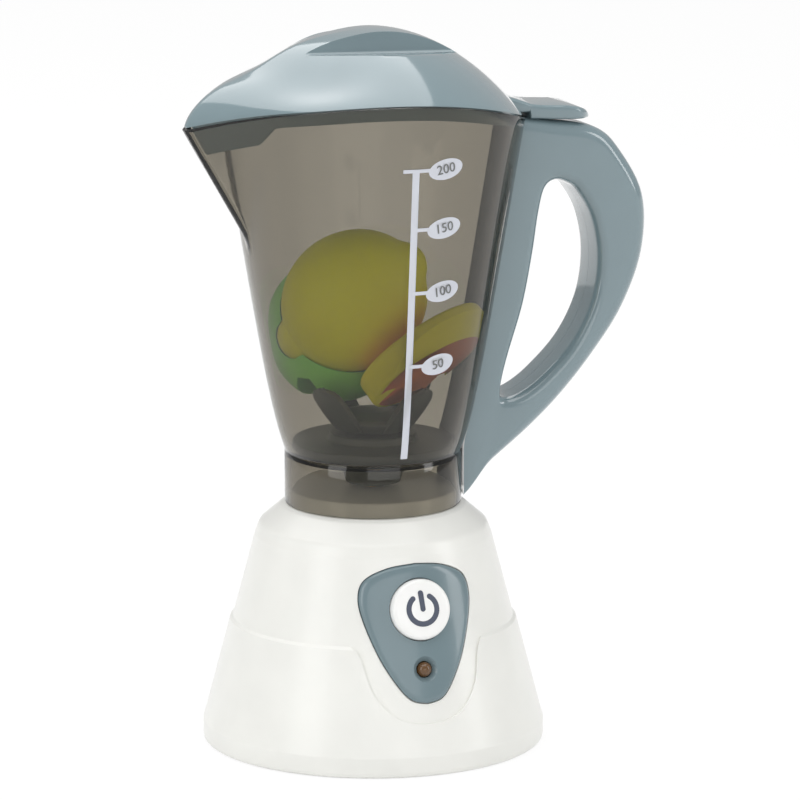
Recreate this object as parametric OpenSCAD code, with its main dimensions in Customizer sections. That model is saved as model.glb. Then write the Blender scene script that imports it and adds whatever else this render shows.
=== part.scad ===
// Toy blender: a battery base with a push-button motor drive, a smoky jug that lifts off,
// a domed lid, a lift-up blade flower and three play-food pieces.
// Origin: centre of the base, on the surface it stands on. +Z up, -Y to the front, +X to the handle.

/* [Base] */
// Diameter of the base at its widest
base_d = 112; // [108:1:116]
// Height of the ledge that the jug's collar stands on
base_h = 79.5; // [78:0.5:81]
// Wall of the moulded shells
shell_wall = 2.4; // [2:0.1:2.8]
// Height of the step between the skirt and the upper body
step_z = 41; // [39:0.5:43]
// How far the skirt stands proud of the upper body
step_out = 0.9; // [0.5:0.1:1.2]
// Sideways run of the base's wall for each millimetre of height
side_slope = 0.262; // [0.25:0.002:0.27]

/* [Controls] */
// Height of the power button's centre
button_z = 52.5; // [51:0.5:54]
// Radius of the power button's cap
button_r = 9.9; // [9:0.1:10.2]
// Travel of the power button
button_travel = 1.6; // [1:0.1:1.8]
// Height of the lamp's centre
led_z = 33.8; // [33:0.2:35]

/* [Jug] */
// Outer radius of the jug's collar
collar_r = 29; // [28.5:0.1:29.5]
// Wall of the jug
jug_wall = 2; // [1.6:0.1:2.2]
// Outward run of the jug's wall for each millimetre of height
jug_slope = 0.165; // [0.15:0.005:0.18]
// Extra flare just above the collar
jug_flare = 2.5; // [2:0.1:3]
// Highest point of the arched rim
rim_top = 218.2; // [216:0.2:220]
// Radius of the arch that the rim follows from spout to handle
arch_r = 138; // [130:1:150]
// Place of the arch's crest along the spout and handle axis
arch_x = -9; // [-10:0.5:-6]
// Reach of the spout's tip from the jug's axis, at the tip's height
spout_reach = 66; // [64:0.5:68]

/* [Lid] */
// Height of the lid's crown
lid_top = 236; // [235:0.2:239]
// Wall of the lid
lid_wall = 2.2; // [2:0.1:2.4]
// Width of the grip ridge between the two finger scoops
ridge_w = 16; // [14:0.5:18]

/* [Handle] */
// Width of the handle from front to back
handle_w = 20; // [18:0.5:22]
// Rounding along the handle's edges
handle_edge = 4.5; // [3:0.5:5]

/* [Drive] */
// Teeth of the drive gear
gear_teeth = 36; // [36:1:36]
// Teeth of the motor pinion
pinion_teeth = 12; // [12:1:12]
// Gear module
gear_module = 1; // [1:0.1:1]
// Radius of the steel shafts
shaft_r = 2; // [1.5:0.1:2]

/* [Hidden] */
$fn = 72;

eps = 0.01;
run_gap = 0.06;      // radial clearance of a shaft in its bush
slip_gap = 0.3;      // clearance between pieces that move past each other
blue_grey = [0.55, 0.62, 0.65];
warm_white = [0.95, 0.95, 0.93];
dark_grey = [0.27, 0.28, 0.29];
steel = [0.75, 0.76, 0.78];

base_r = base_d / 2;
step_r = 47;                                    // skirt's radius at its top edge
tilt = atan(side_slope);                        // lean of the front face
shoulder_z = 69;                                // top of the sloping side
boss_r = 26.6;                                  // boss inside the jug's collar
boss_top = base_h + 5;
plate_z = 0.8;                                  // underside of the bottom plate
plate_t = 2.2;
collar_z = base_h + 0.2;                        // underside of the jug's collar
cone_z = 97;                                    // top of the collar, start of the cone
flare_len = 14;
floor_z = 97.25;                                // underside of the jug's floor disc
floor_t = 3.15;
spout_foot = [-42.8, 0, 166];                   // where the spout leaves the cone
spout_ref_z = 216;                              // level where the spout's sides meet the cone
rotor_r = 24.8;                                 // space that the turning blades need
rotor_top = 121.5;
gear_z = 52;
gear_t = 5;
axle_gap = gear_module * (gear_teeth + pinion_teeth) / 2;
motor_x = -axle_gap;
motor_r = 10;
frame_z = 47;                                   // underside of the gearbox plate
frame_t = 2.5;
cover_z = 60.5;
post_at = [[26, 14], [-26, 14], [10, -22]];     // posts that carry the gearbox
post_top = [75.6, 75.6, 78.8];
case_screw_r = 45;
cell_r = 7.1;
cell_len = 50.5;
cell_z = 11;
tray_x = 28.4;                                  // half length inside the battery tray
tray_y = 6;                                     // centre of the battery tray
board_z = -11;                                  // face of the board behind the panel's skin
board_posts = [[11.5, 8], [-11.5, 8], [5.8, -20], [-5.8, -20]];
handle_bolts = [[57, 193], [84.5, 160], [43, 103.5]];
lugs = [[[44, 188], [61, 198]], [[29, 99], [47.5, 108]]];
view_right = [0.937, -0.350, 0];                // sideways and forwards across the jug,
view_front = [-0.350, -0.937, 0];               // for the loose play food

// ---------- outlines ----------

function skirt_r(z) = step_r + side_slope * (step_z - 0.4 - z);
function upper_r(z) = step_r - step_out + side_slope * (step_z - z);
function jug_r(z) = collar_r - 0.1 + jug_slope * (z - cone_z) + jug_flare * (1 - exp(-(z - cone_z) / flare_len));
function arch_z(x) = rim_top - arch_r + sqrt(arch_r * arch_r - (x - arch_x) * (x - arch_x));

function spline_point(a, b, c, d, t) = 0.5 * (2 * b + (c - a) * t + (2 * a - 5 * b + 4 * c - d) * t * t
    + (3 * b - 3 * c + d - a) * t * t * t);
function closed_spline(p, n) = let (m = len(p)) [for (i = [0:m - 1]) for (k = [0:n - 1])
    spline_point(p[(i + m - 1) % m], p[i], p[(i + 1) % m], p[(i + 2) % m], k / n)];
function open_spline(p, n) = let (m = len(p)) [for (i = [0:m - 2]) for (k = [0:n - 1])
    spline_point(p[max(i - 1, 0)], p[i], p[i + 1], p[min(i + 2, m - 1)], k / n), p[m - 1]];
function mirrored(p) = concat(p, [for (i = [len(p) - 2:-1:1]) [-p[i].x, p[i].y]]);
// moves a counter-clockwise outline inwards by d
function shrunk(p, d) = let (m = len(p)) [for (i = [0:m - 1])
    let (t = p[(i + 1) % m] - p[(i + m - 1) % m]) p[i] + d * [-t.y, t.x] / norm(t)];

// the panel's shield, from its lowest point up its right side to its top
shield_half = [[0, 23.2], [5, 24.4], [9, 28.6], [13.9, 37.2], [17.7, 48], [18.9, 56], [16.6, 62], [9, 65.7], [0, 66.8]];
shield = mirrored(open_spline(shield_half, 3));

// pairs of points across the handle: on its outer curve and on the edge of its opening
grip = [
    [[24, 79.5], [41.4, 116]], [[38, 90.6], [42.6, 112.3]], [[51.7, 101.1], [48.6, 113.2]],
    [[63.1, 111.5], [57, 118.8]], [[74.5, 124.6], [67.4, 129.6]], [[84.9, 139.7], [74, 143]],
    [[91.8, 158], [75.8, 157.5]], [[91.9, 177], [73.4, 170.5]], [[83, 193.1], [68.4, 179.3]],
    [[75, 200], [65, 182.2]], [[62, 202.9], [60.6, 183.4]], [[40, 204.2], [57, 180.9]],
    [[28, 190], [55, 173.2]], [[24, 162], [53, 160]], [[20, 143], [49.6, 143]], [[18, 120], [44.4, 126.5]]
];
grip_outer = closed_spline([for (g = grip) g[0]], 3);
grip_inner = closed_spline([for (g = grip) g[1]], 3);

// ---------- general pieces ----------

// loop through sections that run from an outer curve to an inner one, both in the XZ plane;
// each section's corners are rounded, by edge_out on the outer side and edge_in on the inner
module ring(outer, inner, margin, half, edge_out, edge_in, steps) {
    m = len(outer);
    h = half - margin;
    eo = max(edge_out - margin, 0.6);
    ei = max(edge_in - margin, 0.6);
    turn = [for (k = [0:steps]) 90 * k / steps];
    n = 4 * (steps + 1);
    rows = [for (i = [0:m - 1]) let (w = norm(inner[i] - outer[i]), u = (inner[i] - outer[i]) / w,
        section = concat(
            [for (t = turn) [margin + eo - eo * sin(t), -h + eo - eo * cos(t)]],
            [for (t = turn) [margin + eo - eo * cos(t), h - eo + eo * sin(t)]],
            [for (t = turn) [w - margin - ei + ei * sin(t), h - ei + ei * cos(t)]],
            [for (t = turn) [w - margin - ei + ei * cos(t), -h + ei - ei * sin(t)]]))
        [for (q = section) [outer[i].x + u.x * q.x, q.y, outer[i].y + u.y * q.x]]];
    polyhedron(
        points = [for (row = rows) for (q = row) q],
        faces = [for (i = [0:m - 1]) for (k = [0:n - 1]) let (a = i * n, b = (i + 1) % m * n, j = (k + 1) % n)
            each [[a + k, b + k, b + j], [a + k, b + j, a + j]]],
        convexity = 8);
}

// round tube along a list of points
module tube(path, r, sides, ref) {
    m = len(path);
    rows = [for (i = [0:m - 1])
        let (t = path[min(i + 1, m - 1)] - path[max(i - 1, 0)], u = t / norm(t),
            a = cross(u, ref) / norm(cross(u, ref)), b = cross(u, a))
        [for (k = [0:sides - 1]) path[i] + r * (cos(360 * k / sides) * a + sin(360 * k / sides) * b)]];
    polyhedron(
        points = [for (row = rows) for (q = row) q],
        faces = concat(
            [[for (k = [0:sides - 1]) k]],
            [[for (k = [sides - 1:-1:0]) (m - 1) * sides + k]],
            [for (i = [0:m - 2]) for (k = [0:sides - 1]) let (j = (k + 1) % sides)
                each [[i * sides + k, (i + 1) * sides + j, i * sides + j],
                    [i * sides + k, (i + 1) * sides + k, (i + 1) * sides + j]]]),
        convexity = 4);
}

module below_arch(lift) {
    translate([arch_x, 0, rim_top - arch_r]) rotate([90, 0, 0]) cylinder(r = arch_r + lift, h = 220, center = true, $fn = 180);
}

module on_panel() {
    translate([0, -upper_r(button_z), button_z]) rotate([90 - tilt, 0, 0]) children();
}

module at_led() {
    on_panel() translate([0, (led_z - button_z) / cos(tilt), 0]) children();
}

// prism along the front face from an outline in the XZ plane
module front_prism(outline) {
    rotate([90, 0, 0]) linear_extrude(height = base_d) polygon(outline);
}

module screw(head_r, head_h, shank_r, shank_len) {
    translate([0, 0, -head_h]) difference() {
        cylinder(r = head_r, h = head_h);
        for (a = [0, 90]) rotate([0, 0, a]) cube([head_r * 1.2, 0.6, 1.2], center = true);
    }
    translate([0, 0, -eps]) cylinder(r = shank_r, h = shank_len);
}

// ---------- base ----------

module base_outline() {
    polygon([[0, 0], [base_r - 4, 0], [base_r - 4, 12], [upper_r(12), 12], [upper_r(shoulder_z), shoulder_z],
        [38.4, 70.7], [37.6, 72], [36.5, 73.1], [30.6, 78.5], [29.9, 78.95], [28.9, 79.3], [boss_r + 0.1, base_h],
        [boss_r, base_h + 0.1], [boss_r, boss_top - 0.8], [boss_r - 0.8, boss_top], [0, boss_top]]);
}

module base_shell() {
    w = shell_wall;
    color(warm_white) difference() {
        union() {
            difference() {
                union() {
                    rotate_extrude() base_outline();
                    difference() {
                        rotate_extrude() polygon([[base_r - 6, 0], [base_r - 1, 0], [base_r - 0.3, 0.5],
                            [base_r, 1.4], [base_r, 6.4], [skirt_r(8.8), 8.8], [skirt_r(step_z - 0.4), step_z - 0.4],
                            [step_r - 0.4, step_z + 0.2], [step_r - 4, step_z + 0.2]]);
                        front_prism(shrunk(shield, -6.3));
                        translate([-22, -base_d, step_z - 4.5]) cube([44, base_d, 6]);
                    }
                }
                rotate_extrude() polygon([[0, -1], [base_r - w, -1], [base_r - w, 6], [skirt_r(9) - step_out - w, 9],
                    [upper_r(shoulder_z) - w, shoulder_z - 0.6], [35, 71.2], [27, 76.9], [boss_r - w, 77],
                    [boss_r - w, boss_top - 2], [0, boss_top - 2]]);
            }
            for (i = [0:3]) rotate([0, 0, 45 + 90 * i]) translate([case_screw_r, 0, 3.05]) {
                cylinder(r = 3.5, h = 22);
                translate([0, -1, 0]) cube([4.6, 2, 22]);
            }
            for (i = [0:2]) let (p = post_at[i]) translate([p.x, p.y, cover_z + 2.1])
                cylinder(r = 3.4, h = post_top[i] - cover_z - 2.1);
            translate([0, 0, 78.4]) cylinder(r = 6, h = boss_top - 80);
        }
        translate([0, 0, 70]) cylinder(r = 3.55, h = 20);
        for (i = [0:3]) rotate([0, 0, 45 + 90 * i]) translate([case_screw_r, 0, 0]) cylinder(r = 1.45, h = 16);
        for (p = post_at) translate([p.x, p.y, 0]) cylinder(r = 1.45, h = 74);
        front_prism(shrunk(shield, 2.6));
        intersection() {
            front_prism(shrunk(shield, -0.35));
            difference() {
                cylinder(r = 60, h = 90);
                cone_skin(-1.2);
            }
        }
    }
}

// the upper body's cone, moved outwards by d
module cone_skin(d) {
    cylinder(r1 = upper_r(0) + d, r2 = upper_r(90) + d, h = 90);
}

module base_bottom() {
    color(warm_white) difference() {
        union() {
            translate([0, 0, plate_z]) cylinder(r = base_r - shell_wall - 0.3, h = plate_t);
            translate([-tray_x - 1.6, tray_y - 17.4, plate_z]) cube([2 * tray_x + 3.2, 34.8, 19.6]);
            translate([31, tray_y, plate_z]) cylinder(r = 5, h = 12);
        }
        translate([-tray_x, tray_y - 15.8, plate_z - 1]) cube([2 * tray_x, 31.6, 19]);
        translate([-tray_x - 2, tray_y - 17.8, plate_z - 1]) cube([2 * tray_x + 4, 35.6, 2]);
        translate([tray_x, tray_y - 5, plate_z - 1]) cube([8.6, 10, 2]);
        translate([33.2, tray_y, plate_z - 1]) cylinder(r = 1.32, h = 11);
        for (s = [-1, 1]) translate([s * (tray_x + 0.8) - 2, tray_y + s * 7.6 - 1.5, 12.5]) cube([4, 3, 6]);
        for (i = [0:3]) rotate([0, 0, 45 + 90 * i]) translate([case_screw_r, 0, plate_z - 1]) {
            cylinder(r = 1.6, h = 6);
            cylinder(r = 3.1, h = 2);
        }
    }
}

module battery_door() {
    color(warm_white) difference() {
        union() {
            translate([-tray_x - 1.7, tray_y - 17.5, plate_z]) cube([2 * tray_x + 3.4, 35, 0.9]);
            translate([-tray_x + 0.3, tray_y - 15.5, plate_z]) cube([2 * tray_x - 0.6, 31, 2.2]);
            translate([tray_x, tray_y - 4.7, plate_z]) cube([8.3, 9.4, 0.9]);
        }
        translate([33.2, tray_y, plate_z - 1]) cylinder(r = 1.5, h = 4);
        for (i = [-4:4]) translate([i * 5, tray_y, plate_z]) cube([1.2, 20, 0.8], center = true);
    }
}

module battery_door_screw() {
    color(steel) translate([33.2, tray_y, plate_z]) difference() {
        union() {
            translate([0, 0, -0.6]) cylinder(r = 2.3, h = 0.6);
            translate([0, 0, -0.1]) cylinder(r = 1.25, h = 8);
        }
        for (a = [0, 90]) rotate([0, 0, a]) translate([0, 0, -0.6]) cube([3, 0.6, 0.6], center = true);
    }
}

module case_screws() {
    color(steel) for (i = [0:3]) rotate([0, 0, 45 + 90 * i])
        translate([case_screw_r, 0, plate_z + 1]) screw(2.7, 0.95, 1.4, 13);
}

// each cell's flat end is on the s side, where the coil spring presses on it
module battery_cells() {
    color([0.2, 0.35, 0.3]) for (s = [-1, 1]) translate([0, tray_y + s * 7.6, cell_z]) rotate([0, s * 90, 0]) {
        translate([0, 0, 23 - cell_len + 1.2]) cylinder(r = cell_r, h = cell_len - 1.2);
        translate([0, 0, 23 - cell_len]) cylinder(r = 2.7, h = 1.3);
    }
}

module battery_contacts() {
    color(steel) for (s = [-1, 1]) translate([0, tray_y + s * 7.6, cell_z]) {
        translate([-s * 27.9, 0, 0]) cube([0.6, 12, 11], center = true);
        translate([s * 27.9, 0, 0]) cube([0.6, 12, 11], center = true);
        tube([for (k = [0:44]) let (a = k * 24, r = 4.6 - k * 0.045) [s * (27.4 - k * 0.0903), r * cos(a), r * sin(a)]],
            0.35, 6, [1, 0, 0]);
    }
}

// ---------- controls ----------

module panel_layer(inset, low, high) {
    intersection() {
        front_prism(shrunk(shield, inset));
        difference() {
            cone_skin(high);
            cone_skin(low);
        }
    }
}

module control_panel() {
    color(blue_grey) difference() {
        union() {
            panel_layer(0, -1.15, 0.35);
            panel_layer(0.7, -1.15, 0.75);
            panel_layer(1.5, -1.15, 1);
            on_panel() for (p = board_posts) translate([p.x, p.y, board_z]) cylinder(r = 2, h = 8.6 - (abs(p.x) > 9 ? 0 : -1));
        }
        on_panel() {
            translate([0, 0, -6]) cylinder(r = button_r + 0.25, h = 10);
            for (p = board_posts) translate([p.x, p.y, board_z - 1]) cylinder(r = 0.75, h = 6);
        }
        at_led() {
            translate([0, 0, -6]) cylinder(r = 2.65, h = 10);
            translate([0, 0, -0.2]) cylinder(r1 = 2.65, r2 = 4.4, h = 1.4);
        }
    }
}

module power_button() {
    color([0.97, 0.97, 0.96]) on_panel() rotate_extrude() polygon([[0, -4.2], [button_r + 1.1, -4.2],
        [button_r + 1.1, -3.4], [button_r, -3.4], [button_r, 2.3], [button_r - 0.4, 2.9], [button_r - 1.2, 3.25],
        [button_r / 2, 3.5], [0, 3.6]]);
}

module switch_plunger() {
    color([0.15, 0.15, 0.16]) on_panel() translate([0, 0, -8.2]) cylinder(r = 1.6, h = 4);
}

module power_switch() {
    color(dark_grey) on_panel() difference() {
        translate([-4.25, -4.25, board_z]) cube([8.5, 8.5, 4]);
        translate([0, 0, board_z + 0.8]) cylinder(r = 1.6 + run_gap, h = 5);
    }
}

module led_lamp() {
    color([0.75, 0.45, 0.15]) at_led() {
        translate([0, 0, -7]) cylinder(r = 2.9, h = 1);
        translate([0, 0, -7]) cylinder(r = 2.5, h = 6.4);
        intersection() {
            translate([0, 0, -0.6]) sphere(r = 2.5);
            translate([0, 0, -0.6]) cylinder(r = 3, h = 4);
        }
        for (s = [-1, 1]) translate([s * 1.27, 0, board_z + eps]) cylinder(r = 0.3, h = -board_z - 6);
    }
}

module circuit_board() {
    color([0.1, 0.4, 0.25]) on_panel() difference() {
        union() {
            translate([-15, -25.5, board_z - 1.6]) cube([30, 38, 1.6]);
            translate([-6, -14, board_z - 1 - eps]) cube([5, 3, 2]);
            translate([3, -13, board_z - 1 - eps]) cube([3, 1.6, 1.8]);
        }
        for (p = board_posts) translate([p.x, p.y, board_z - 2]) cylinder(r = 1, h = 3);
    }
}

module board_screws() {
    color(steel) on_panel() for (p = board_posts) translate([p.x, p.y, board_z - 1.6]) screw(1.9, 1.1, 0.7, 5);
}

// ---------- drive ----------

function gear_outline(teeth, m, thin) = let (rp = m * teeth / 2, rb = rp * cos(20), rf = rp - 1.2 * m, ra = rp + 0.8 * m,
    half = 90 / teeth - thin / rp * 180 / PI + (tan(20) * 180 / PI - 20),
    rows = [for (k = [0:4]) max(rb, rf) + (ra - max(rb, rf)) * k / 4])
    [for (t = [0:teeth - 1]) let (c = 360 * t / teeth) each concat(
        rf < rb ? [rf * [cos(c - half), sin(c - half)]] : [],
        [for (r = rows) let (a = acos(rb / r), w = half - (tan(a) * 180 / PI - a)) r * [cos(c - w), sin(c - w)]],
        [for (i = [4:-1:0]) let (r = rows[i], a = acos(rb / r), w = half - (tan(a) * 180 / PI - a)) r * [cos(c + w), sin(c + w)]],
        rf < rb ? [rf * [cos(c + half), sin(c + half)]] : [])];

module motor() {
    color(steel) difference() {
        union() {
            translate([motor_x, 0, 23]) intersection() {
                cylinder(r = motor_r, h = 24);
                translate([-motor_r, -7.6, 0]) cube([2 * motor_r, 15.2, 24]);
            }
            translate([motor_x, 0, 46]) cylinder(r = 3, h = 2.4);
            translate([motor_x, 0, 21.6]) cylinder(r = 3.6, h = 2);
            for (s = [-1, 1]) translate([motor_x - 0.3, s * 6 - 0.8, 21.2]) cube([0.6, 1.6, 2.4]);
        }
        translate([motor_x, 0, 40]) cylinder(r = 1 + run_gap, h = 10);
        for (s = [-1, 1]) translate([motor_x + s * 7.5, 0, 42]) cylinder(r = 0.85, h = 6);
    }
}

module motor_screws() {
    color(steel) for (s = [-1, 1]) translate([motor_x + s * 7.5, 0, frame_z + frame_t]) mirror([0, 0, 1]) screw(1.6, 0.9, 0.8, 5);
}

module motor_shaft() {
    color(steel) translate([motor_x, 0, 41]) cylinder(r = 1, h = 17);
}

module motor_pinion() {
    color([0.9, 0.88, 0.8]) translate([motor_x, 0, gear_z]) difference() {
        rotate([0, 0, 180 / pinion_teeth]) linear_extrude(height = gear_t) polygon(gear_outline(pinion_teeth, gear_module, 0.12));
        translate([0, 0, -1]) cylinder(r = 1, h = gear_t + 2);
    }
}

module frame_plate(z, t) {
    translate([0, 0, z]) intersection() {
        cylinder(r = 35, h = t);
        translate([-35, -25.5, 0]) cube([70, 48, t]);
    }
}

module gearbox_plate() {
    color([0.92, 0.92, 0.9]) difference() {
        union() {
            frame_plate(frame_z, frame_t);
            for (p = post_at) translate([p.x, p.y, frame_z]) cylinder(r = 3.2, h = cover_z - frame_z);
        }
        for (p = post_at) translate([p.x, p.y, frame_z - 1]) cylinder(r = 1.6, h = 20);
        translate([motor_x, 0, frame_z - 1]) cylinder(r = 3.2, h = 5);
        for (s = [-1, 1]) translate([motor_x + s * 7.5, 0, frame_z - 1]) cylinder(r = 1, h = 5);
        translate([0, 0, frame_z - 1]) cylinder(r = 3.55, h = 5);
    }
}

module gearbox_cover() {
    color([0.92, 0.92, 0.9]) difference() {
        frame_plate(cover_z + 0.05, 2);
        for (p = post_at) translate([p.x, p.y, cover_z - 1]) cylinder(r = 1.6, h = 5);
        translate([0, 0, cover_z - 1]) cylinder(r = shaft_r + 0.4, h = 5);
        translate([motor_x, 0, cover_z - 1]) cylinder(r = 2, h = 5);
    }
}

module gearbox_screws() {
    color(steel) for (p = post_at) translate([p.x, p.y, frame_z]) screw(2.7, 1.6, 1.4, 24);
}

module bush(z, h, flange_z) {
    difference() {
        union() {
            translate([0, 0, z]) cylinder(r = 3.5, h = h);
            translate([0, 0, flange_z]) cylinder(r = 5, h = 0.8);
        }
        translate([0, 0, z - 5]) cylinder(r = shaft_r + run_gap, h = h + 10);
    }
}

module shaft_bushes() {
    color([0.8, 0.62, 0.3]) {
        bush(frame_z - 0.8, frame_t + 1.6, frame_z - 0.8);
        bush(77.6, boss_top - 77.5, 77.6);
    }
}

module drive_shaft() {
    color(steel) translate([0, 0, 45.5]) cylinder(r = shaft_r, h = 44.5);
}

module drive_gear() {
    color([0.95, 0.93, 0.86]) difference() {
        union() {
            translate([0, 0, gear_z]) linear_extrude(height = gear_t) polygon(gear_outline(gear_teeth, gear_module, 0.12));
            translate([0, 0, gear_z - 1.4]) cylinder(r = 5, h = gear_t + 4);
        }
        translate([0, 0, gear_z - 3]) cylinder(r = shaft_r, h = gear_t + 8);
        for (i = [0:5]) rotate([0, 0, 60 * i]) translate([10.5, 0, gear_z - 1]) cylinder(r = 3.4, h = gear_t + 2);
    }
}

module drive_coupling() {
    color(dark_grey) translate([0, 0, boss_top + 0.7]) difference() {
        union() {
            cylinder(r = 3, h = 6.3);
            for (i = [0:3]) rotate([0, 0, 90 * i]) translate([0, -1.1, 0]) cube([6.4, 2.2, 5.6]);
            cylinder(r = 5.4, h = 1);
        }
        translate([0, 0, -1]) cylinder(r = shaft_r, h = 5.8);
    }
}

module wires() {
    runs = [
        [[-28.6, -1.6, 15], [-31.6, -1.6, 16.4], [-33.5, -6, 21], [-30, -14, 26], [-22, -22, 29], [-12, -30, 32], [-9, -34.9, 32.8]],
        [[28.6, 13.6, 15], [31.6, 13.6, 16.4], [34, 16, 22], [28, 22, 28], [10, 25, 31], [-10, 22, 29], [-22, 13, 23.2], [-24, 7.6, 22]],
        [[9, -34.9, 32.8], [6, -30, 31.4], [-4, -24, 28], [-16, -16, 24.4], [-23, -10, 22.1], [-24, -7.6, 22]]
    ];
    color([0.7, 0.15, 0.12]) for (w = runs) tube(open_spline(w, 4), 0.55, 8, [0.31, 0.42, 0.85]);
}

// ---------- jug ----------

module cone_solid(d) {
    rotate_extrude() polygon(concat([[0, cone_z - d]], [for (z = [cone_z, 100, 104, 109, 116, 126, 140, 225]) [jug_r(z) - d, z]], [[0, 225]]));
}

function spout_corner(d, s) = let (r = jug_r(spout_ref_z) - 0.3 - d,
    reach = (spout_reach + 0.571 * (spout_ref_z - 206.5)) * r / (r + d), b = acos(r / reach)) [-r * cos(b), s * r * sin(b), spout_ref_z];
function spout_tip(d) = let (r = jug_r(spout_ref_z) - 0.3 - d)
    [-(spout_reach + 0.571 * (spout_ref_z - 206.5)) * r / (r + d), 0, spout_ref_z];
function spout_base(d) = spout_foot + [d * 1.33, 0, 0];

// the spout's pyramid, its walls moved inwards by d
module spout_solid(d) {
    b = spout_base(d);
    k = 1.12;
    tip = b + k * (spout_tip(d) - b);
    blunt = 1.6;
    top = [b + k * (spout_corner(d, -1) - b), tip + [0.9 * blunt, -blunt, 0], tip + [0.9 * blunt, blunt, 0],
        b + k * (spout_corner(d, 1) - b)];
    polyhedron(
        points = concat(top, [b + [0.6, -0.4, 0], b + [0.6, 0.4, 0]]),
        faces = [[0, 1, 2, 3], [4, 1, 0], [4, 5, 2, 1], [5, 3, 2], [5, 4, 0, 3]],
        convexity = 2);
}

module jug() {
    color([0.45, 0.44, 0.4, 0.5]) difference() {
        union() {
            intersection() {
                difference() {
                    union() {
                        translate([0, 0, collar_z]) cylinder(r = collar_r, h = cone_z - collar_z);
                        cone_solid(0);
                        spout_solid(0);
                    }
                    translate([0, 0, collar_z - 1]) cylinder(r = collar_r - jug_wall, h = cone_z - collar_z - 1);
                    cylinder(r = 24.6, h = 120);
                    difference() {
                        union() {
                            cone_solid(jug_wall);
                            spout_solid(jug_wall);
                        }
                        cylinder(r = 80, h = floor_z);
                    }
                }
                below_arch(0);
            }
            for (l = lugs) difference() {
                translate([l[0].x, -1.5, l[0].y]) cube([l[1].x - l[0].x, 3, l[1].y - l[0].y]);
                cone_solid(0.5);
            }
        }
        for (b = handle_bolts) translate([b.x, 0, b.y]) rotate([90, 0, 0]) cylinder(r = 1.8, h = 8, center = true);
    }
}

module jug_floor() {
    color(dark_grey) difference() {
        union() {
            translate([0, 0, floor_z]) cylinder(r = collar_r - jug_wall - 0.4, h = floor_t);
            translate([0, 0, floor_z]) cylinder(r1 = 14.6, r2 = 14.2, h = 103 - floor_z);
        }
        translate([0, 0, floor_z - 1]) cylinder(r = 3.55, h = 10);
    }
}

module blade_bush() {
    color([0.8, 0.62, 0.3]) bush(96.4, 7, 96.4);
}

module blade_shaft() {
    color(steel) translate([0, 0, 92.8]) cylinder(r = shaft_r, h = 16.2);
}

module blade_rotor() {
    color([0.25, 0.27, 0.24]) difference() {
        union() {
            rotate_extrude() polygon([[0, 103.8], [10.4, 103.8], [11.4, 104.6], [14.2, 107.4], [13.2, 108.6], [6, 110.2], [0, 110.6]]);
            for (i = [0:3]) rotate([0, 0, 24.5 + 90 * i]) translate([10.6, 0, 104.6]) rotate([0, 38.3, 0]) {
                translate([-1.1, -6.2, 0]) cube([2.2, 12.4, 13.8]);
                translate([0, 0, 13.8]) rotate([0, 90, 0]) cylinder(r = 6.2, h = 2.2, center = true);
            }
        }
        translate([0, 0, 100]) cylinder(r = shaft_r, h = 9);
        translate([0, 0, 95]) cylinder(r = 30, h = 8.8);
    }
}

module driven_coupling() {
    color(dark_grey) difference() {
        union() {
            difference() {
                translate([0, 0, boss_top + 1.5]) cylinder(r1 = 9, r2 = 12, h = 9.8);
                translate([0, 0, boss_top]) cylinder(r = 7.2, h = 8);
            }
            for (i = [0:3]) rotate([0, 0, 45 + 90 * i]) translate([3.9, -1.1, boss_top + 2]) cube([4, 2.2, 6.5]);
        }
        translate([0, 0, 90]) cylinder(r = shaft_r, h = 10);
    }
}

// ---------- handle ----------

module handle_body() {
    difference() {
        ring(grip_outer, grip_inner, 0, handle_w / 2, handle_edge, 3.4, 3);
        cone_solid(-0.25);
        translate([0, 0, 70]) cylinder(r = collar_r + 0.8, h = cone_z - 69.6);
    }
}

module handle_cavity() {
    difference() {
        ring(grip_outer, grip_inner, 2.3, handle_w / 2, handle_edge, 3.4, 1);
        cone_solid(-2.4);
        translate([0, 0, 70]) cylinder(r = collar_r + 3, h = cone_z - 69.6);
    }
}

// s = -1 gives the front half, s = 1 the back half, which carries the screw heads
module handle_half(s) {
    color(blue_grey) difference() {
        union() {
            difference() {
                intersection() {
                    handle_body();
                    translate([0, s > 0 ? 0.03 : -40.03, 60]) cube([120, 40, 160]);
                }
                handle_cavity();
            }
            for (i = [0:2]) let (b = handle_bolts[i], y = i == 1 ? 0.05 : 1.7)
                translate([b.x, 0, b.y]) rotate([-90 * s, 0, 0]) translate([0, 0, y]) cylinder(r = 3.3, h = handle_w / 2 - 2 - y);
        }
        for (l = lugs) translate([l[0].x - 5, -1.7, l[0].y - 0.3]) cube([l[1].x - l[0].x + 5.3, 3.4, l[1].y - l[0].y + 0.6]);
        for (b = handle_bolts) translate([b.x, 0, b.y]) rotate([-90, 0, 0]) {
            translate([0, 0, -6]) cylinder(r = s > 0 ? 1.7 : 1.45, h = 20);
            if (s > 0) translate([0, 0, 7]) cylinder(r = 3, h = 6);
        }
    }
}

module handle_front_half() { handle_half(-1); }

module handle_back_half() { handle_half(1); }

module handle_screws() {
    color(steel) for (b = handle_bolts) translate([b.x, 7, b.y]) rotate([90, 0, 0]) screw(2.7, 1.6, 1.4, 12.5);
}

// ---------- lid ----------

// distance from the axis to the rim's outer edge, at angle a from the spout
function rim_reach(a, z) = let (b = spout_base(0), k = (z - b.z) / (spout_ref_z - b.z), t = b + k * (spout_tip(0) - b),
    c = b + k * (spout_corner(0, 1) - b), q = c.y, p = -c.x, far = -t.x, d = abs(a))
    d < atan(q / p) ? min(q * far / (q * cos(d) + (far - p) * sin(d)), far - 1.4) : jug_r(z);
function rim_reach2(a) = rim_reach(a, arch_z(-rim_reach(a, arch_z(-52 * cos(a))) * cos(a)));
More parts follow.
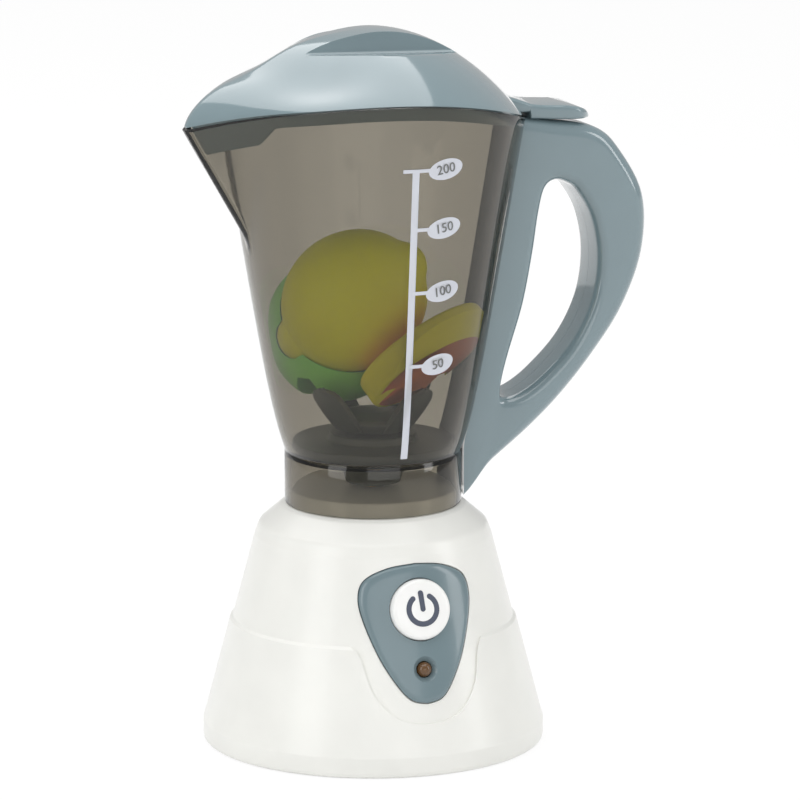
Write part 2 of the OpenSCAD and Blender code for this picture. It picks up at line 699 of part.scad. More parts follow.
// height of the dome over the rim, from 1 at the crown to 0 at the edge; fuller towards the spout
function dome(s, a) = let (w = max(0, cos(a)) * max(0, cos(a)) * max(0, cos(a)), t = abs(a > 180 ? a - 360 : a),
    sway = t < 90 ? sin(2 * t) * sin(2 * t) : 0, ridge = t < 45 ? 1 - sway : 0)
    max(0, pow(max(0, 1 - pow(s, 2 - 0.25 * w)), 0.9 - 0.28 * w)
        - 0.19 * sway * exp(-(s - 0.76) * (s - 0.76) / 0.05) * (1 - pow(s, 14))
        - 0.085 * ridge * exp(-(s - 0.66) * (s - 0.66) / 0.03));

module dome_solid(inset, drop) {
    n = 60;
    k = 10;
    ring = [for (i = [0:n - 1]) let (a = 360 * i / n + 0.001, r = rim_reach2(a > 180 ? a - 360 : a) - 0.8 - inset)
        [a, r, arch_z(-r * cos(a))]];
    points = concat(
        [[0, 0, lid_top - drop]],
        [for (j = [1:k]) let (s = sin(90 * j / k)) for (q = ring)
            [-s * q[1] * cos(q[0]), s * q[1] * sin(q[0]), q[2] + (lid_top - drop - q[2]) * dome(s, q[0])]],
        [for (q = ring) [-q[1] * cos(q[0]), q[1] * sin(q[0]), 190]]);
    polyhedron(points = points,
        faces = concat(
            [for (i = [0:n - 1]) [0, 1 + i, 1 + (i + 1) % n]],
            [for (j = [0:k - 1]) for (i = [0:n - 1]) let (a = 1 + j * n + i, b = 1 + j * n + (i + 1) % n)
                each [[a, b + n, b], [a, a + n, b + n]]],
            [[for (i = [n - 1:-1:0]) 1 + k * n + i]]),
        convexity = 4);
}

module scoops(grow) {
    for (s = [-1, 1]) translate([0, s * (ridge_w / 2 - grow), 228.5 - grow]) rotate([s * 7.5, 2, 0])
        translate([-50, s > 0 ? 0 : -60, 0]) cube([100, 60, 40]);
}

// wall that dips into the jug, deeper at the spout
module lid_skirt() {
    difference() {
        below_arch(1.5);
        difference() {
            below_arch(-4.5);
            translate([-90, -20.5, 150]) cube([50, 41, 90]);
        }
        below_arch(-9.4);
    }
}

module lid_plug(d) {
    cone_solid(jug_wall + d);
    spout_solid(jug_wall + d);
}

module lid_tab() {
    side = concat(open_spline([[74, 202.9], [73.4, 204.6], [71.5, 206.1], [67, 207.7], [62, 208.2], [56, 208.6],
        [51, 209.5], [42, 213]], 3), [[42, 206.6], [51.4, 206.6], [51.8, 204.4], [62, 203.5]]);
    intersection() {
        rotate([90, 0, 0]) linear_extrude(height = 19, center = true) polygon(side);
        union() {
            translate([30, -9.5, 195]) cube([36, 19, 30]);
            intersection() {
                translate([64, 0, 195]) cylinder(r = 10.6, h = 30);
                translate([60, -9.5, 195]) cube([20, 19, 30]);
            }
        }
    }
}

module lid() {
    color(blue_grey) {
        difference() {
            union() {
                difference() {
                    dome_solid(0, 0);
                    scoops(0);
                    below_arch(0.3);
                }
                lid_tab();
            }
            difference() {
                dome_solid(lid_wall, lid_wall);
                scoops(lid_wall);
            }
            intersection() {
                below_arch(0.3);
                cone_solid(-0.4);
            }
        }
        intersection() {
            lid_skirt();
            difference() {
                union() { lid_plug(0.35); }
                lid_plug(1.95);
            }
        }
    }
}

// ---------- play food ----------

function in_jug(side, front, up) = side * view_right + front * view_front + [0, 0, up];

// the funnel that the petals sweep, with room to spare
module clear_of_blades() {
    rotate_extrude() polygon([[0, 103.2], [15.5, 103.2], [rotor_r, 112], [rotor_r, rotor_top], [21.4, rotor_top],
        [12.3, 109.6], [6, 110.9], [0, 111.2]]);
}

module lemon_body(grow) {
    translate(in_jug(-6, 1, 146.6)) rotate([0, 0, -20.5]) rotate([0, -125.5, 0]) rotate_extrude()
        polygon(concat([[0, -27.5 - grow]],
            [for (a = [-74:12:70]) [(22.6 + grow) * cos(a), (24.5 + grow) * sin(a)]],
            [[5.6 + grow, 24.8 + grow], [4.4 + grow, 28 + grow], [2.4, 29.4 + grow], [0, 29.8 + grow]]));
}

module toy_lemon() {
    color([0.93, 0.85, 0.1]) lemon_body(0);
}

module slice_body(grow) {
    translate(in_jug(17.1, 12, 130.7)) rotate([0, 42.9, 124.7]) cylinder(r = 23 + grow, h = 9 + 2 * grow, center = true);
}

module toy_fruit_slice() {
    color([0.9, 0.75, 0.15]) difference() {
        intersection() {
            slice_body(0);
            cone_solid(jug_wall + 0.7);
        }
        lemon_body(0.5);
        clear_of_blades();
    }
}

module toy_green_fruit() {
    color([0.35, 0.62, 0.25]) difference() {
        intersection() {
            translate(in_jug(-12, -12, 134.5)) sphere(r = 24);
            cone_solid(jug_wall + 0.7);
        }
        lemon_body(0.5);
        slice_body(0.5);
        clear_of_blades();
    }
}

base_shell();
base_bottom();
battery_door();
battery_door_screw();
case_screws();
battery_cells();
battery_contacts();
control_panel();
power_button();
switch_plunger();
power_switch();
led_lamp();
circuit_board();
board_screws();
motor();
motor_screws();
motor_shaft();
motor_pinion();
gearbox_plate();
gearbox_cover();
gearbox_screws();
shaft_bushes();
drive_shaft();
drive_gear();
drive_coupling();
wires();
jug();
jug_floor();
blade_bush();
blade_shaft();
blade_rotor();
driven_coupling();
handle_front_half();
handle_back_half();
handle_screws();
lid();
toy_lemon();
toy_fruit_slice();
toy_green_fruit();
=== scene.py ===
"""Toy blender, dressed for its photograph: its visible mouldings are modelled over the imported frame."""

import logging
import math
from contextlib import contextmanager
from dataclasses import dataclass, field
from enum import Enum
from typing import Any, Callable, Iterator, Sequence

import bpy
from mathutils import Matrix, Vector


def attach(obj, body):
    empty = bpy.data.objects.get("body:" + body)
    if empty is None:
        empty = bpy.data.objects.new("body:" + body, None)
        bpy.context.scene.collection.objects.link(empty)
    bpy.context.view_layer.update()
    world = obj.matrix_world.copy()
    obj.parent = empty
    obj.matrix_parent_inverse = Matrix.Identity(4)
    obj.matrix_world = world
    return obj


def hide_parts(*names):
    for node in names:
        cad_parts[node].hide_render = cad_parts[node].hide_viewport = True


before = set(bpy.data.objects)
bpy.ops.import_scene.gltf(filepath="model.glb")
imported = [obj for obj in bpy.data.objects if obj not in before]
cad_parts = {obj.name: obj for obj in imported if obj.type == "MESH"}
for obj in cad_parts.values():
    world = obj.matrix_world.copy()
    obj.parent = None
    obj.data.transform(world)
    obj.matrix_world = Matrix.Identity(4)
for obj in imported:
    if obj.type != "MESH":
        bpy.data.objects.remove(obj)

LOG = logging.getLogger("toy_blender")
MM = 0.001
BRUSH_STRETCH = 14
CLOUD_SCALE = 38.0
WEAR = 0.12
HANDLE_SCREWS = ((57, 193), (84.5, 160), (43, 103.5))
Piece = bpy.types.Object
Point = tuple[float, float]
Place = Callable[[int, int], Vector]


# ---------------------------------------------------------------- colours and finishes


def tone(red: int, green: int, blue: int) -> tuple[float, float, float, float]:
    """A colour as it is seen on screen, turned into the linear values that shaders take.

    Args:
        red: Red, 0 to 255.
        green: Green, 0 to 255.
        blue: Blue, 0 to 255.

    Returns:
        Linear red, green, blue and an alpha of 1.
    """

    def linear(part: float) -> float:
        """One channel from screen value to linear value."""
        part /= 255.0
        return part / 12.92 if part <= 0.04045 else ((part + 0.055) / 1.055) ** 2.4

    return (linear(red), linear(green), linear(blue), 1.0)


class Relief(Enum):
    """What a finish's surface looks like close up."""

    MOULDED = "moulded"
    BRUSHED = "brushed"
    SMOOTH = "smooth"


class Tree:
    """A node tree with short ways to add nodes, fill their sockets and join them."""

    def __init__(self, owner: Any) -> None:
        """Takes up the tree of a material or a world."""
        owner.use_nodes = True
        self.tree = owner.node_tree

    def fill(self, node: Any, values: dict[str, Any]) -> Any:
        """Sets a node's sockets by name and returns the node.

        Args:
            node: The node to fill.
            values: A value for each socket's name.

        Returns:
            The same node.
        """
        for socket, value in values.items():
            node.inputs[socket].default_value = value
        return node

    def given(self, name: str, **values: Any) -> Any:
        """The node of a name that the tree started with; _ in a socket's name stands for a space."""
        return self.fill(self.tree.nodes[name], {k.replace("_", " "): v for k, v in values.items()})

    def add(self, kind: str, **values: Any) -> Any:
        """A new shader node; _ in a socket's name stands for a space."""
        node = self.tree.nodes.new("ShaderNode" + kind)
        return self.fill(node, {k.replace("_", " "): v for k, v in values.items()})

    def link(self, node: Any, out: str | int, other: Any, socket: str | int) -> None:
        """Joins one node's output to another node's input."""
        self.tree.links.new(node.outputs[out], other.inputs[socket])

    def math(self, operation: str, first: tuple[Any, str], second: tuple[Any, str] | float) -> Any:
        """A math node over one output and another output or a fixed number.

        Args:
            operation: What the node does, such as MAXIMUM.
            first: A node and the name or number of its output.
            second: Another such pair, or a fixed number.

        Returns:
            The new node.
        """
        node = self.add("Math")
        node.operation = operation
        self.link(*first, node, 0)
        if isinstance(second, tuple):
            self.link(*second, node, 1)
        else:
            node.inputs[1].default_value = second
        return node

    def mixed(self, share: tuple[Any, str | int], first: Any, second: Any) -> Any:
        """A mix of two shaders by a share.

        Args:
            share: The node and output that say how much of the second shader shows.
            first: The shader at a share of 0.
            second: The shader at a share of 1.

        Returns:
            The new node.
        """
        node = self.add("MixShader")
        self.link(*share, node, "Fac")
        self.link(first, 0, node, 1)
        self.link(second, 0, node, 2)
        return node


@dataclass(frozen=True)
class Finish:
    """A plastic, metal or rubber finish with a fine procedural surface."""

    name: str
    colour: tuple[int, int, int]
    roughness: float = 0.3
    metallic: float = 0.0
    coat: float = 0.0
    relief: Relief = Relief.MOULDED
    grain_mm: float = 0.6
    depth: float = 0.04
    variation: float = 0.03

    def material(self) -> bpy.types.Material:
        """The Blender material for this finish, made once.

        Returns:
            The material.
        """
        found = bpy.data.materials.get(self.name)
        if found:
            return found
        made = bpy.data.materials.new(self.name)
        tree = Tree(made)
        coat = {"Coat_Weight": self.coat, "Coat_Roughness": 0.08}
        shader = tree.given("Principled BSDF", Metallic=self.metallic, **coat)
        stretch = tree.add("Mapping", Scale=(1, 1, BRUSH_STRETCH if self.relief is Relief.BRUSHED else 1))
        tree.link(tree.add("TexCoord"), "Object", stretch, "Vector")
        cloud = tree.add("TexNoise", Scale=CLOUD_SCALE, Detail=3.0)
        tree.link(stretch, "Vector", cloud, "Vector")
        shade = tree.add("ValToRGB")
        base = tone(*self.colour)
        ends = ((0.3, 1 - self.variation), (0.7, 1 + self.variation))
        for step, (position, part) in zip(shade.color_ramp.elements, ends):
            step.position = position
            step.color = tuple(min(1, c * part) for c in base[:3]) + (1,)
        tree.link(cloud, "Fac", shade, "Fac")
        tree.link(shade, "Color", shader, "Base Color")
        rough = self.roughness
        wear = tree.add("MapRange", To_Min=rough * (1 - WEAR), To_Max=min(1.0, rough * (1 + WEAR)))
        tree.link(cloud, "Fac", wear, "Value")
        tree.link(wear, "Result", shader, "Roughness")
        if self.relief is not Relief.SMOOTH:
            grain = tree.add("TexNoise", Scale=1.0 / (self.grain_mm * MM), Detail=2.0)
            tree.link(stretch, "Vector", grain, "Vector")
            bump = tree.add("Bump", Strength=self.depth, Distance=0.2 * MM)
            tree.link(grain, "Fac", bump, "Height")
            tree.link(bump, "Normal", shader, "Normal")
        return made


@dataclass(frozen=True)
class SmokyClear:
    """Clear smoked plastic: light passes, and a longer way through the wall is darker."""

    name: str = "smoky_clear"
    smoke: tuple[float, float, float] = (0.52, 0.49, 0.42)
    density: float = 720.0
    roughness: float = 0.015

    def material(self) -> bpy.types.Material:
        """The Blender material for the clear wall, made once.

        Returns:
            The material.
        """
        found = bpy.data.materials.get(self.name)
        if found:
            return found
        made = bpy.data.materials.new(self.name)
        tree = Tree(made)
        clear = {"Base_Color": (0.97, 0.965, 0.95, 1), "IOR": 1.46, "Transmission_Weight": 1.0}
        shader = tree.given("Principled BSDF", **clear)
        cloud = tree.add("TexNoise", Scale=22.0)
        tree.link(tree.add("TexCoord"), "Object", cloud, "Vector")
        haze = tree.add("MapRange", To_Min=self.roughness * 0.5, To_Max=self.roughness * 1.5)
        tree.link(cloud, "Fac", haze, "Value")
        tree.link(haze, "Result", shader, "Roughness")
        ripple = tree.add("Bump", Strength=0.03, Distance=0.4 * MM)
        tree.link(cloud, "Fac", ripple, "Height")
        tree.link(ripple, "Normal", shader, "Normal")
        passing = tree.add("BsdfTransparent", Color=(1, 1, 1, 1))
        lit = tree.mixed((tree.add("LightPath"), "Is Shadow Ray"), shader, passing)
        tint = tree.add("VolumeAbsorption", Color=self.smoke + (1,), Density=self.density)
        out = tree.given("Material Output")
        tree.link(lit, 0, out, "Surface")
        tree.link(tint, "Volume", out, "Volume")
        return made


BLUE_GREY = Finish("blue_grey_plastic", (122, 141, 147), roughness=0.12, coat=1.0)
PANEL_GREY = Finish("panel_plastic", (112, 131, 137), roughness=0.24, coat=0.3)
WARM_WHITE = Finish("warm_white_plastic", (237, 237, 232), roughness=0.3, coat=0.1)
BUTTON_WHITE = Finish("button_plastic", (246, 246, 244), roughness=0.25, coat=0.2, grain_mm=0.5)
SLATE_PRINT = Finish("slate_print", (78, 84, 100), roughness=0.5, relief=Relief.SMOOTH)
WHITE_PRINT = Finish("white_print", (208, 211, 219), roughness=0.55, relief=Relief.SMOOTH)
GREY_PRINT = Finish("grey_print", (110, 112, 110), roughness=0.55, relief=Relief.SMOOTH)
AMBER = Finish("amber_epoxy", (96, 66, 34), roughness=0.18, coat=0.3, relief=Relief.SMOOTH)
CHARCOAL = Finish("charcoal_plastic", (92, 97, 90), roughness=0.38, grain_mm=0.5, depth=0.08)
CREAM = Finish("cream_nylon", (228, 222, 204), roughness=0.45, depth=0.08)
STEEL = Finish("plated_steel", (188, 190, 194), 0.26, metallic=1.0, relief=Relief.BRUSHED, grain_mm=0.4)
BRONZE = Finish("sintered_bronze", (188, 148, 92), 0.4, metallic=1.0, grain_mm=0.25, depth=0.1)
BOARD = Finish("solder_mask", (38, 96, 62), roughness=0.35, grain_mm=0.8)
JACKET = Finish("cell_film", (64, 92, 88), roughness=0.28, coat=0.3)
WIRE = Finish("wire_insulation", (172, 50, 42), roughness=0.5, grain_mm=0.4)
LEMON = Finish("lemon_plastic", (255, 250, 4), roughness=0.5, grain_mm=1.4, depth=0.35, variation=0.06)
RIND = Finish("rind_plastic", (252, 244, 30), roughness=0.5, grain_mm=1.2, depth=0.25)
FLESH = Finish("flesh_plastic", (250, 140, 84), roughness=0.5, grain_mm=1.6, depth=0.3, variation=0.12)
GREEN = Finish("green_fruit_plastic", (160, 255, 112), 0.5, grain_mm=1.2, depth=0.25, variation=0.1)
SMOKY = SmokyClear()


# ---------------------------------------------------------------- modelling helpers


def deselect() -> None:
    """Leaves edit mode and clears the selection."""
    if bpy.context.object and bpy.context.object.mode != "OBJECT":
        bpy.ops.object.mode_set(mode="OBJECT")
    bpy.ops.object.select_all(action="DESELECT")


def activate(piece: Piece) -> None:
    """Makes one piece the only selected and the active one.

    Args:
        piece: The piece to work on.
    """
    deselect()
    piece.select_set(True)
    bpy.context.view_layer.objects.active = piece


def named(piece: Piece, name: str) -> Piece:
    """Gives a piece and its mesh the same name and returns the piece.

    Args:
        piece: The piece.
        name: Its new name.

    Returns:
        The same piece.
    """
    piece.name = name
    piece.data.name = name
    return piece


def settle(piece: Piece) -> Piece:
    """Puts the piece's place into its mesh, so that the object sits at the origin.

    Args:
        piece: The piece.

    Returns:
        The same piece.
    """
    activate(piece)
    bpy.ops.object.transform_apply(location=True, rotation=True, scale=True)
    return piece


@contextmanager
def edited(piece: Piece) -> Iterator[None]:
    """Opens a piece in edit mode with its whole mesh selected.

    Args:
        piece: The piece to open.

    Returns:
        A context in which edit mode's operators act on the piece.
    """
    activate(piece)
    bpy.ops.object.mode_set(mode="EDIT")
    bpy.ops.mesh.select_all(action="SELECT")
    yield
    bpy.ops.object.mode_set(mode="OBJECT")


def tidy(piece: Piece, smooth_deg: float = 32.0) -> Piece:
    """Merges doubles, turns the faces outwards and smooths the shading.

    Args:
        piece: The mesh piece.
        smooth_deg: Edges sharper than this stay crisp.

    Returns:
        The same piece.
    """
    with edited(piece):
        bpy.ops.mesh.remove_doubles(threshold=2e-6)
        bpy.ops.mesh.dissolve_degenerate(threshold=1e-7)
        bpy.ops.mesh.normals_make_consistent(inside=False)
    bpy.ops.object.shade_smooth_by_angle(angle=math.radians(smooth_deg))
    return piece


def apply_all(piece: Piece) -> None:
    """Applies every modifier on the piece.

    Args:
        piece: The piece.
    """
    activate(piece)
    for modifier in list(piece.modifiers):
        bpy.ops.object.modifier_apply(modifier=modifier.name)


def rounded(piece: Piece, width_mm: float, steps: int = 3, sharp_deg: float = 35.0) -> Piece:
    """Rounds the piece's sharp edges.

    Args:
        piece: The mesh piece.
        width_mm: Size of the rounding.
        steps: Faces across each rounding.
        sharp_deg: Only edges sharper than this are rounded.

    Returns:
        The same piece.
    """
    bevel = piece.modifiers.new("rounding", "BEVEL")
    bevel.width = width_mm * MM
    bevel.segments = steps
    bevel.limit_method = "ANGLE"
    bevel.angle_limit = math.radians(sharp_deg)
    apply_all(piece)
    return piece


def combine(piece: Piece, other: Piece, how: str = "DIFFERENCE") -> Piece:
    """Cuts, joins or intersects a piece with another one, which is used up.

    Args:
        piece: The piece that stays.
        other: The piece that is used as the tool.
        how: DIFFERENCE, UNION or INTERSECT.

    Returns:
        The piece that stays.
    """
    tool = piece.modifiers.new("tool", "BOOLEAN")
    tool.operation = how
    tool.solver = "EXACT"
    tool.object = other
    apply_all(piece)
    bpy.data.objects.remove(other, do_unlink=True)
    return piece


def joined(first: Piece, *others: Piece) -> Piece:
    """Puts several pieces into the first one's mesh.

    Args:
        first: The piece that the others go into.
        *others: The pieces that are used up.

    Returns:
        The first piece.
    """
    activate(first)
    for other in others:
        other.select_set(True)
    bpy.ops.object.join()
    return first


def chain(points: Sequence[Point]) -> Piece:
    """A closed outline in the XZ plane, drawn by extruding one vertex along it.

    Args:
        points: x and z of each corner, in millimetres.

    Returns:
        A mesh of edges.
    """
    deselect()
    bpy.ops.mesh.primitive_plane_add(size=0.001, location=(points[0][0] * MM, 0, points[0][1] * MM))
    piece = bpy.context.object
    with edited(piece):
        bpy.ops.mesh.merge(type="CENTER")
        for (x0, z0), (x1, z1) in zip(points, [*points[1:], points[0]]):
            step = ((x1 - x0) * MM, 0, (z1 - z0) * MM)
            bpy.ops.mesh.extrude_region_move(TRANSFORM_OT_translate={"value": step})
        bpy.ops.mesh.select_all(action="SELECT")
        bpy.ops.mesh.remove_doubles(threshold=1e-7)
    return settle(piece)


def turned(points: Sequence[Point], steps: int = 120) -> Piece:
    """A turned piece: a closed outline of radius and height spun round the Z axis.

    Args:
        points: Radius and height of each corner, in millimetres.
        steps: Faces round the piece.

    Returns:
        The closed solid.
    """
    piece = chain(points)
    with edited(piece):
        bpy.ops.mesh.spin(steps=steps, angle=2 * math.pi, center=(0, 0, 0), axis=(0, 0, 1))
    return tidy(piece)


def slab(points: Sequence[Point], near_mm: float, far_mm: float) -> Piece:
    """A flat outline in the XZ plane, extruded along Y.

    Args:
        points: x and z of each corner, in millimetres.
        near_mm: y of one face.
        far_mm: y of the other face.

    Returns:
        The closed solid.
    """
    piece = chain(points)
    with edited(piece):
        bpy.ops.mesh.edge_face_add()
        bpy.ops.transform.translate(value=(0, near_mm * MM, 0))
        bpy.ops.mesh.extrude_region_move(TRANSFORM_OT_translate={"value": (0, (far_mm - near_mm) * MM, 0)})
    return tidy(piece)


def block(low: Sequence[float], high: Sequence[float]) -> Piece:
    """A box between two corners, in millimetres.

    Args:
        low: The corner with the lowest x, y and z.
        high: The opposite corner.

    Returns:
        The box.
    """
    deselect()
    centre = [(a + b) / 2 * MM for a, b in zip(low, high)]
    bpy.ops.mesh.primitive_cube_add(size=1, location=centre)
    piece = bpy.context.object
    piece.scale = [(b - a) * MM for a, b in zip(low, high)]
    return settle(piece)


def rod(radius_mm: float, length_mm: float, sides: int = 64) -> Piece:
    """A round bar standing on the origin along +Z.

    Args:
        radius_mm: Its radius.
        length_mm: Its length.
        sides: Faces round it.

    Returns:
        The bar.
    """
    deselect()
    bpy.ops.mesh.primitive_cylinder_add(
        vertices=sides, radius=radius_mm * MM, depth=length_mm * MM, location=(0, 0, length_mm * MM / 2)
    )
    return settle(bpy.context.object)


def shift(x: float, y: float, z: float) -> Matrix:
    """A move by millimetres."""
    return Matrix.Translation((x * MM, y * MM, z * MM))


def spun(degrees: float, axis: str) -> Matrix:
    """A turn round an axis."""
    return Matrix.Rotation(math.radians(degrees), 4, axis)


def moved(piece: Piece, matrix: Matrix) -> Piece:
    """Moves a piece by a matrix and puts its new place into its mesh."""
    piece.matrix_world = matrix
    return settle(piece)


def bore(radius_mm: float, length_mm: float, sides: int, start: Sequence[float]) -> Piece:
    """A round bar that runs from a point straight towards the front, for cutting a hole."""
    return moved(rod(radius_mm, length_mm, sides), shift(*start) @ spun(90, "X"))


def reshaped(piece: Piece, rule: Callable[[Vector], Vector]) -> Piece:
    """Sets every vertex by a rule that gives its new place in millimetres.

    Args:
        piece: The piece.
        rule: Gives a new place in millimetres for an old one in metres.

    Returns:
        The same piece.
    """
    for vertex in piece.data.vertices:
        vertex.co = rule(vertex.co) * MM
    piece.data.update()
    return piece


def hoop(majors: int, minors: int, place: Place) -> Piece:
    """A ring whose every vertex is set in place by a rule, as for a shell that closes on itself.

    Args:
        majors: Sections round the ring.
        minors: Points in each section.
        place: Gives a point, in millimetres, for a section's number and a point's number.

    Returns:
        The closed ring.
    """
    deselect()
    bpy.ops.mesh.primitive_torus_add(
        major_segments=majors, minor_segments=minors, major_radius=1.0, minor_radius=0.25
    )

    def seat(at: Vector) -> Vector:
        """The place for a vertex, told by where the plain ring has it.

        Args:
            at: The vertex's place on the plain ring.

        Returns:
            The place in millimetres.
        """
        i = round(math.atan2(at.y, at.x) / (2 * math.pi) * majors) % majors
        across = math.hypot(at.x, at.y) - 1.0
        j = round(math.atan2(at.z, across) / (2 * math.pi) * minors) % minors
        return place(i, j)

    return tidy(reshaped(bpy.context.object, seat))


def ball(segments: int, rings: int, place: Place) -> Piece:
    """A closed skin whose every vertex is set in place by a rule.

    Args:
        segments: Points round the skin.
        rings: Steps from the top pole, 0, to the bottom pole.
        place: Gives a point, in millimetres, for a segment's number and a ring's number.

    Returns:
        The closed skin.
    """
    deselect()
    bpy.ops.mesh.primitive_uv_sphere_add(segments=segments, ring_count=rings, radius=1.0)

    def seat(at: Vector) -> Vector:
        """The place for a vertex, told by where the plain sphere has it.

        Args:
            at: The vertex's place on the plain sphere.

        Returns:
            The place in millimetres.
        """
        at = at.normalized()
        i = round(math.atan2(at.y, at.x) / (2 * math.pi) * segments) % segments
        return place(i, round(math.acos(max(-1.0, min(1.0, at.z))) / math.pi * rings))

    return tidy(reshaped(bpy.context.object, seat))


def spline(points: Sequence[Point], steps: int, closed: bool = False) -> list[Point]:
    """A smooth curve through points.

    Args:
        points: The points to pass through.
        steps: Points made for each span.
        closed: Whether the curve returns to its start.

    Returns:
        The curve's points.
    """
    count = len(points)
    spans = count if closed else count - 1
    made: list[Point] = []
    for i in range(spans):
        near = [i + k if closed else min(max(i + k, 0), count - 1) for k in (-1, 0, 1, 2)]
        a, b, c, d = (points[k % count] for k in near)
        for k in range(steps):
            t = k / steps
            made.append(tuple(
                0.5 * (2 * b[n] + (c[n] - a[n]) * t + (2 * a[n] - 5 * b[n] + 4 * c[n] - d[n]) * t * t
                       + (3 * b[n] - 3 * c[n] + d[n] - a[n]) * t**3)
                for n in (0, 1)
            ))
    if not closed:
        made.append(tuple(points[-1]))
    return made


def softened(points: Sequence[Point], radii: Sequence[float], steps: int = 5) -> list[Point]:
    """A closed outline with its corners rounded.

    Args:
        points: The outline's corners.
        radii: Rounding at each corner, 0 for a crisp one.
        steps: Faces in each rounding.

    Returns:
        The rounded outline.
    """
    made: list[Point] = []
    count = len(points)
    for i, corner in enumerate(points):
        before, after = Vector(points[i - 1]), Vector(points[(i + 1) % count])
        here = Vector(corner)
        if radii[i] <= 0:
            made.append(tuple(here))
            continue
        back, ahead = (before - here), (after - here)
        half = back.angle(ahead) / 2
        reach = min(radii[i] / max(math.tan(half), 0.05), back.length * 0.48, ahead.length * 0.48)
        start, end = here + back.normalized() * reach, here + ahead.normalized() * reach
        for k in range(steps + 1):
            t = k / steps
            made.append(tuple((1 - t) ** 2 * start + 2 * t * (1 - t) * here + t * t * end))
    return made


def ready(piece: Piece, name: str, finish: Any, slot: str, body: str, *nodes: str) -> Piece:
    """Names, dresses and mounts a finished piece.

    Args:
        piece: The finished mesh.
        name: Its name.
        finish: The finish it gets.
        slot: The record's material slot it belongs to; not used.
        body: The body that it moves with.
        *nodes: The CAD nodes that it stands for.

    Returns:
        The same piece.
    """
    named(piece, name)
    piece.data.materials.clear()
    piece.data.materials.append(finish.material())
    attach(piece, body)
    if nodes:
        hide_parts(*nodes)
    LOG.info("%s: %d faces on %s", name, len(piece.data.polygons), body)
    return piece


# ---------------------------------------------------------------- the object's shared shapes


@dataclass(frozen=True)
class Cone:
    """The base's sloping wall."""

    step_z: float = 41.0
    step_r: float = 47.0
    step_out: float = 0.9
    slope: float = 0.262

    def skirt(self, z: float) -> float:
        """Radius of the skirt at a height."""
        return self.step_r + self.slope * (self.step_z - 0.4 - z)

    def upper(self, z: float) -> float:
        """Radius of the upper body at a height."""
        return self.step_r - self.step_out + self.slope * (self.step_z - z)

    def on_front(self, x: float, z: float, proud: float) -> Vector:
        """A point on the front of the upper body, moved out by proud."""
        radius = self.upper(z) + proud
        return Vector((x, -math.sqrt(max(radius * radius - x * x, 0.0)), z))

    def seat(self, z: float) -> Matrix:
        """The place of a part let into the front at a height, with +Z pointing out of the wall."""
        return shift(0, -self.upper(z), z) @ Matrix.Rotation(math.pi / 2 - math.atan(self.slope), 4, "X")


@dataclass(frozen=True)
class JugForm:
    """The jug's cone, spout and arched rim, which the lid follows too."""

    collar_r: float = 29.0
    wall: float = 2.0
    slope: float = 0.165
    flare: float = 2.5
    cone_z: float = 97.0
    rim_top: float = 218.2
    arch_r: float = 138.0
    arch_x: float = -9.0
    foot_x: float = 42.8
    foot_z: float = 166.0
    mark_z: float = 216.0
    reach: float = 66.0
    blend: float = 1.6

    def cone(self, z: float) -> float:
        """Outer radius of the cone at a height."""
        up = z - self.cone_z
        return self.collar_r - 0.1 + self.slope * up + self.flare * (1 - math.exp(-up / 14))

    def arch(self, x: float) -> float:
        """Height of the rim at a place along the spout and handle axis."""
        return self.rim_top - self.arch_r + math.sqrt(self.arch_r**2 - (x - self.arch_x) ** 2)

    def out(self, angle: float, z: float, inset: float = 0.0) -> float:
        """Distance from the axis to the wall.

        Args:
            angle: Degrees round from the spout.
            z: Height in millimetres.
            inset: How far inside the outer surface.

        Returns:
            The distance in millimetres.
        """
        round_r = self.cone(z) - inset
        turn = abs((angle + 180) % 360 - 180)
        if z <= self.foot_z - inset or turn > 80:
            return round_r
        full = self.cone(self.mark_z) - 0.3
        tip = self.reach + 0.571 * (self.mark_z - 206.5)
        beta = math.acos(full / tip)
        scale = (full - inset) / full
        foot = self.foot_x - inset * 1.33
        k = (z - self.foot_z) / (self.mark_z - self.foot_z)
        if k <= 0:
            return round_r
        far = foot + k * (tip * scale - foot)
        near = foot + k * (full * scale * math.cos(beta) - foot)
        side = k * full * scale * math.sin(beta)
        theta = math.radians(turn)
        corner = math.atan2(side, near)
        if theta >= corner:
            return round_r
        plane = side * far / (side * math.cos(theta) + (far - near) * math.sin(theta))
        flat = min(plane, far - 1.1 + 0.0022 * turn * turn)
        gap = abs(flat - round_r)
        lift = self.blend / 4 * max(0.0, 1 - gap / self.blend) ** 2
        return max(flat, round_r) + lift * min(1.0, (corner - theta) / 0.2)

    def rim(self, angle: float, inset: float = 0.0) -> tuple[float, float]:
        """Distance and height of the rim at an angle from the spout, in degrees.

        Args:
            angle: Degrees round from the spout.
            inset: How far inside the outer surface.

        Returns:
            Distance from the axis and height, in millimetres.
        """
        reach = 50.0
        for _ in range(12):
            z = self.arch(-reach * math.cos(math.radians(angle)))
            reach = self.out(angle, z, inset)
        return reach, self.arch(-reach * math.cos(math.radians(angle)))

    def angles(self) -> list[float]:
        """Angles from the spout, finer near its tip.

        Returns:
            Degrees, once round the jug.
        """
        half = [0.9, 1.8, 2.8, 4, 5.4, 7] + [7 + 1.9 * k for k in range(1, 28)]
        half += [60.2 + 2.9 * k for k in range(1, 41)]
        return [0.0] + half + [180.0] + [-a for a in reversed(half)]


FRONT = Cone()
JUG = JugForm()


def polar(angle: float, reach: float, z: float) -> Vector:
    """A point at an angle in degrees from the spout, a distance from the axis and a height."""
    a = math.radians(angle)
    return Vector((-reach * math.cos(a), reach * math.sin(a), z))


# ---------------------------------------------------------------- base


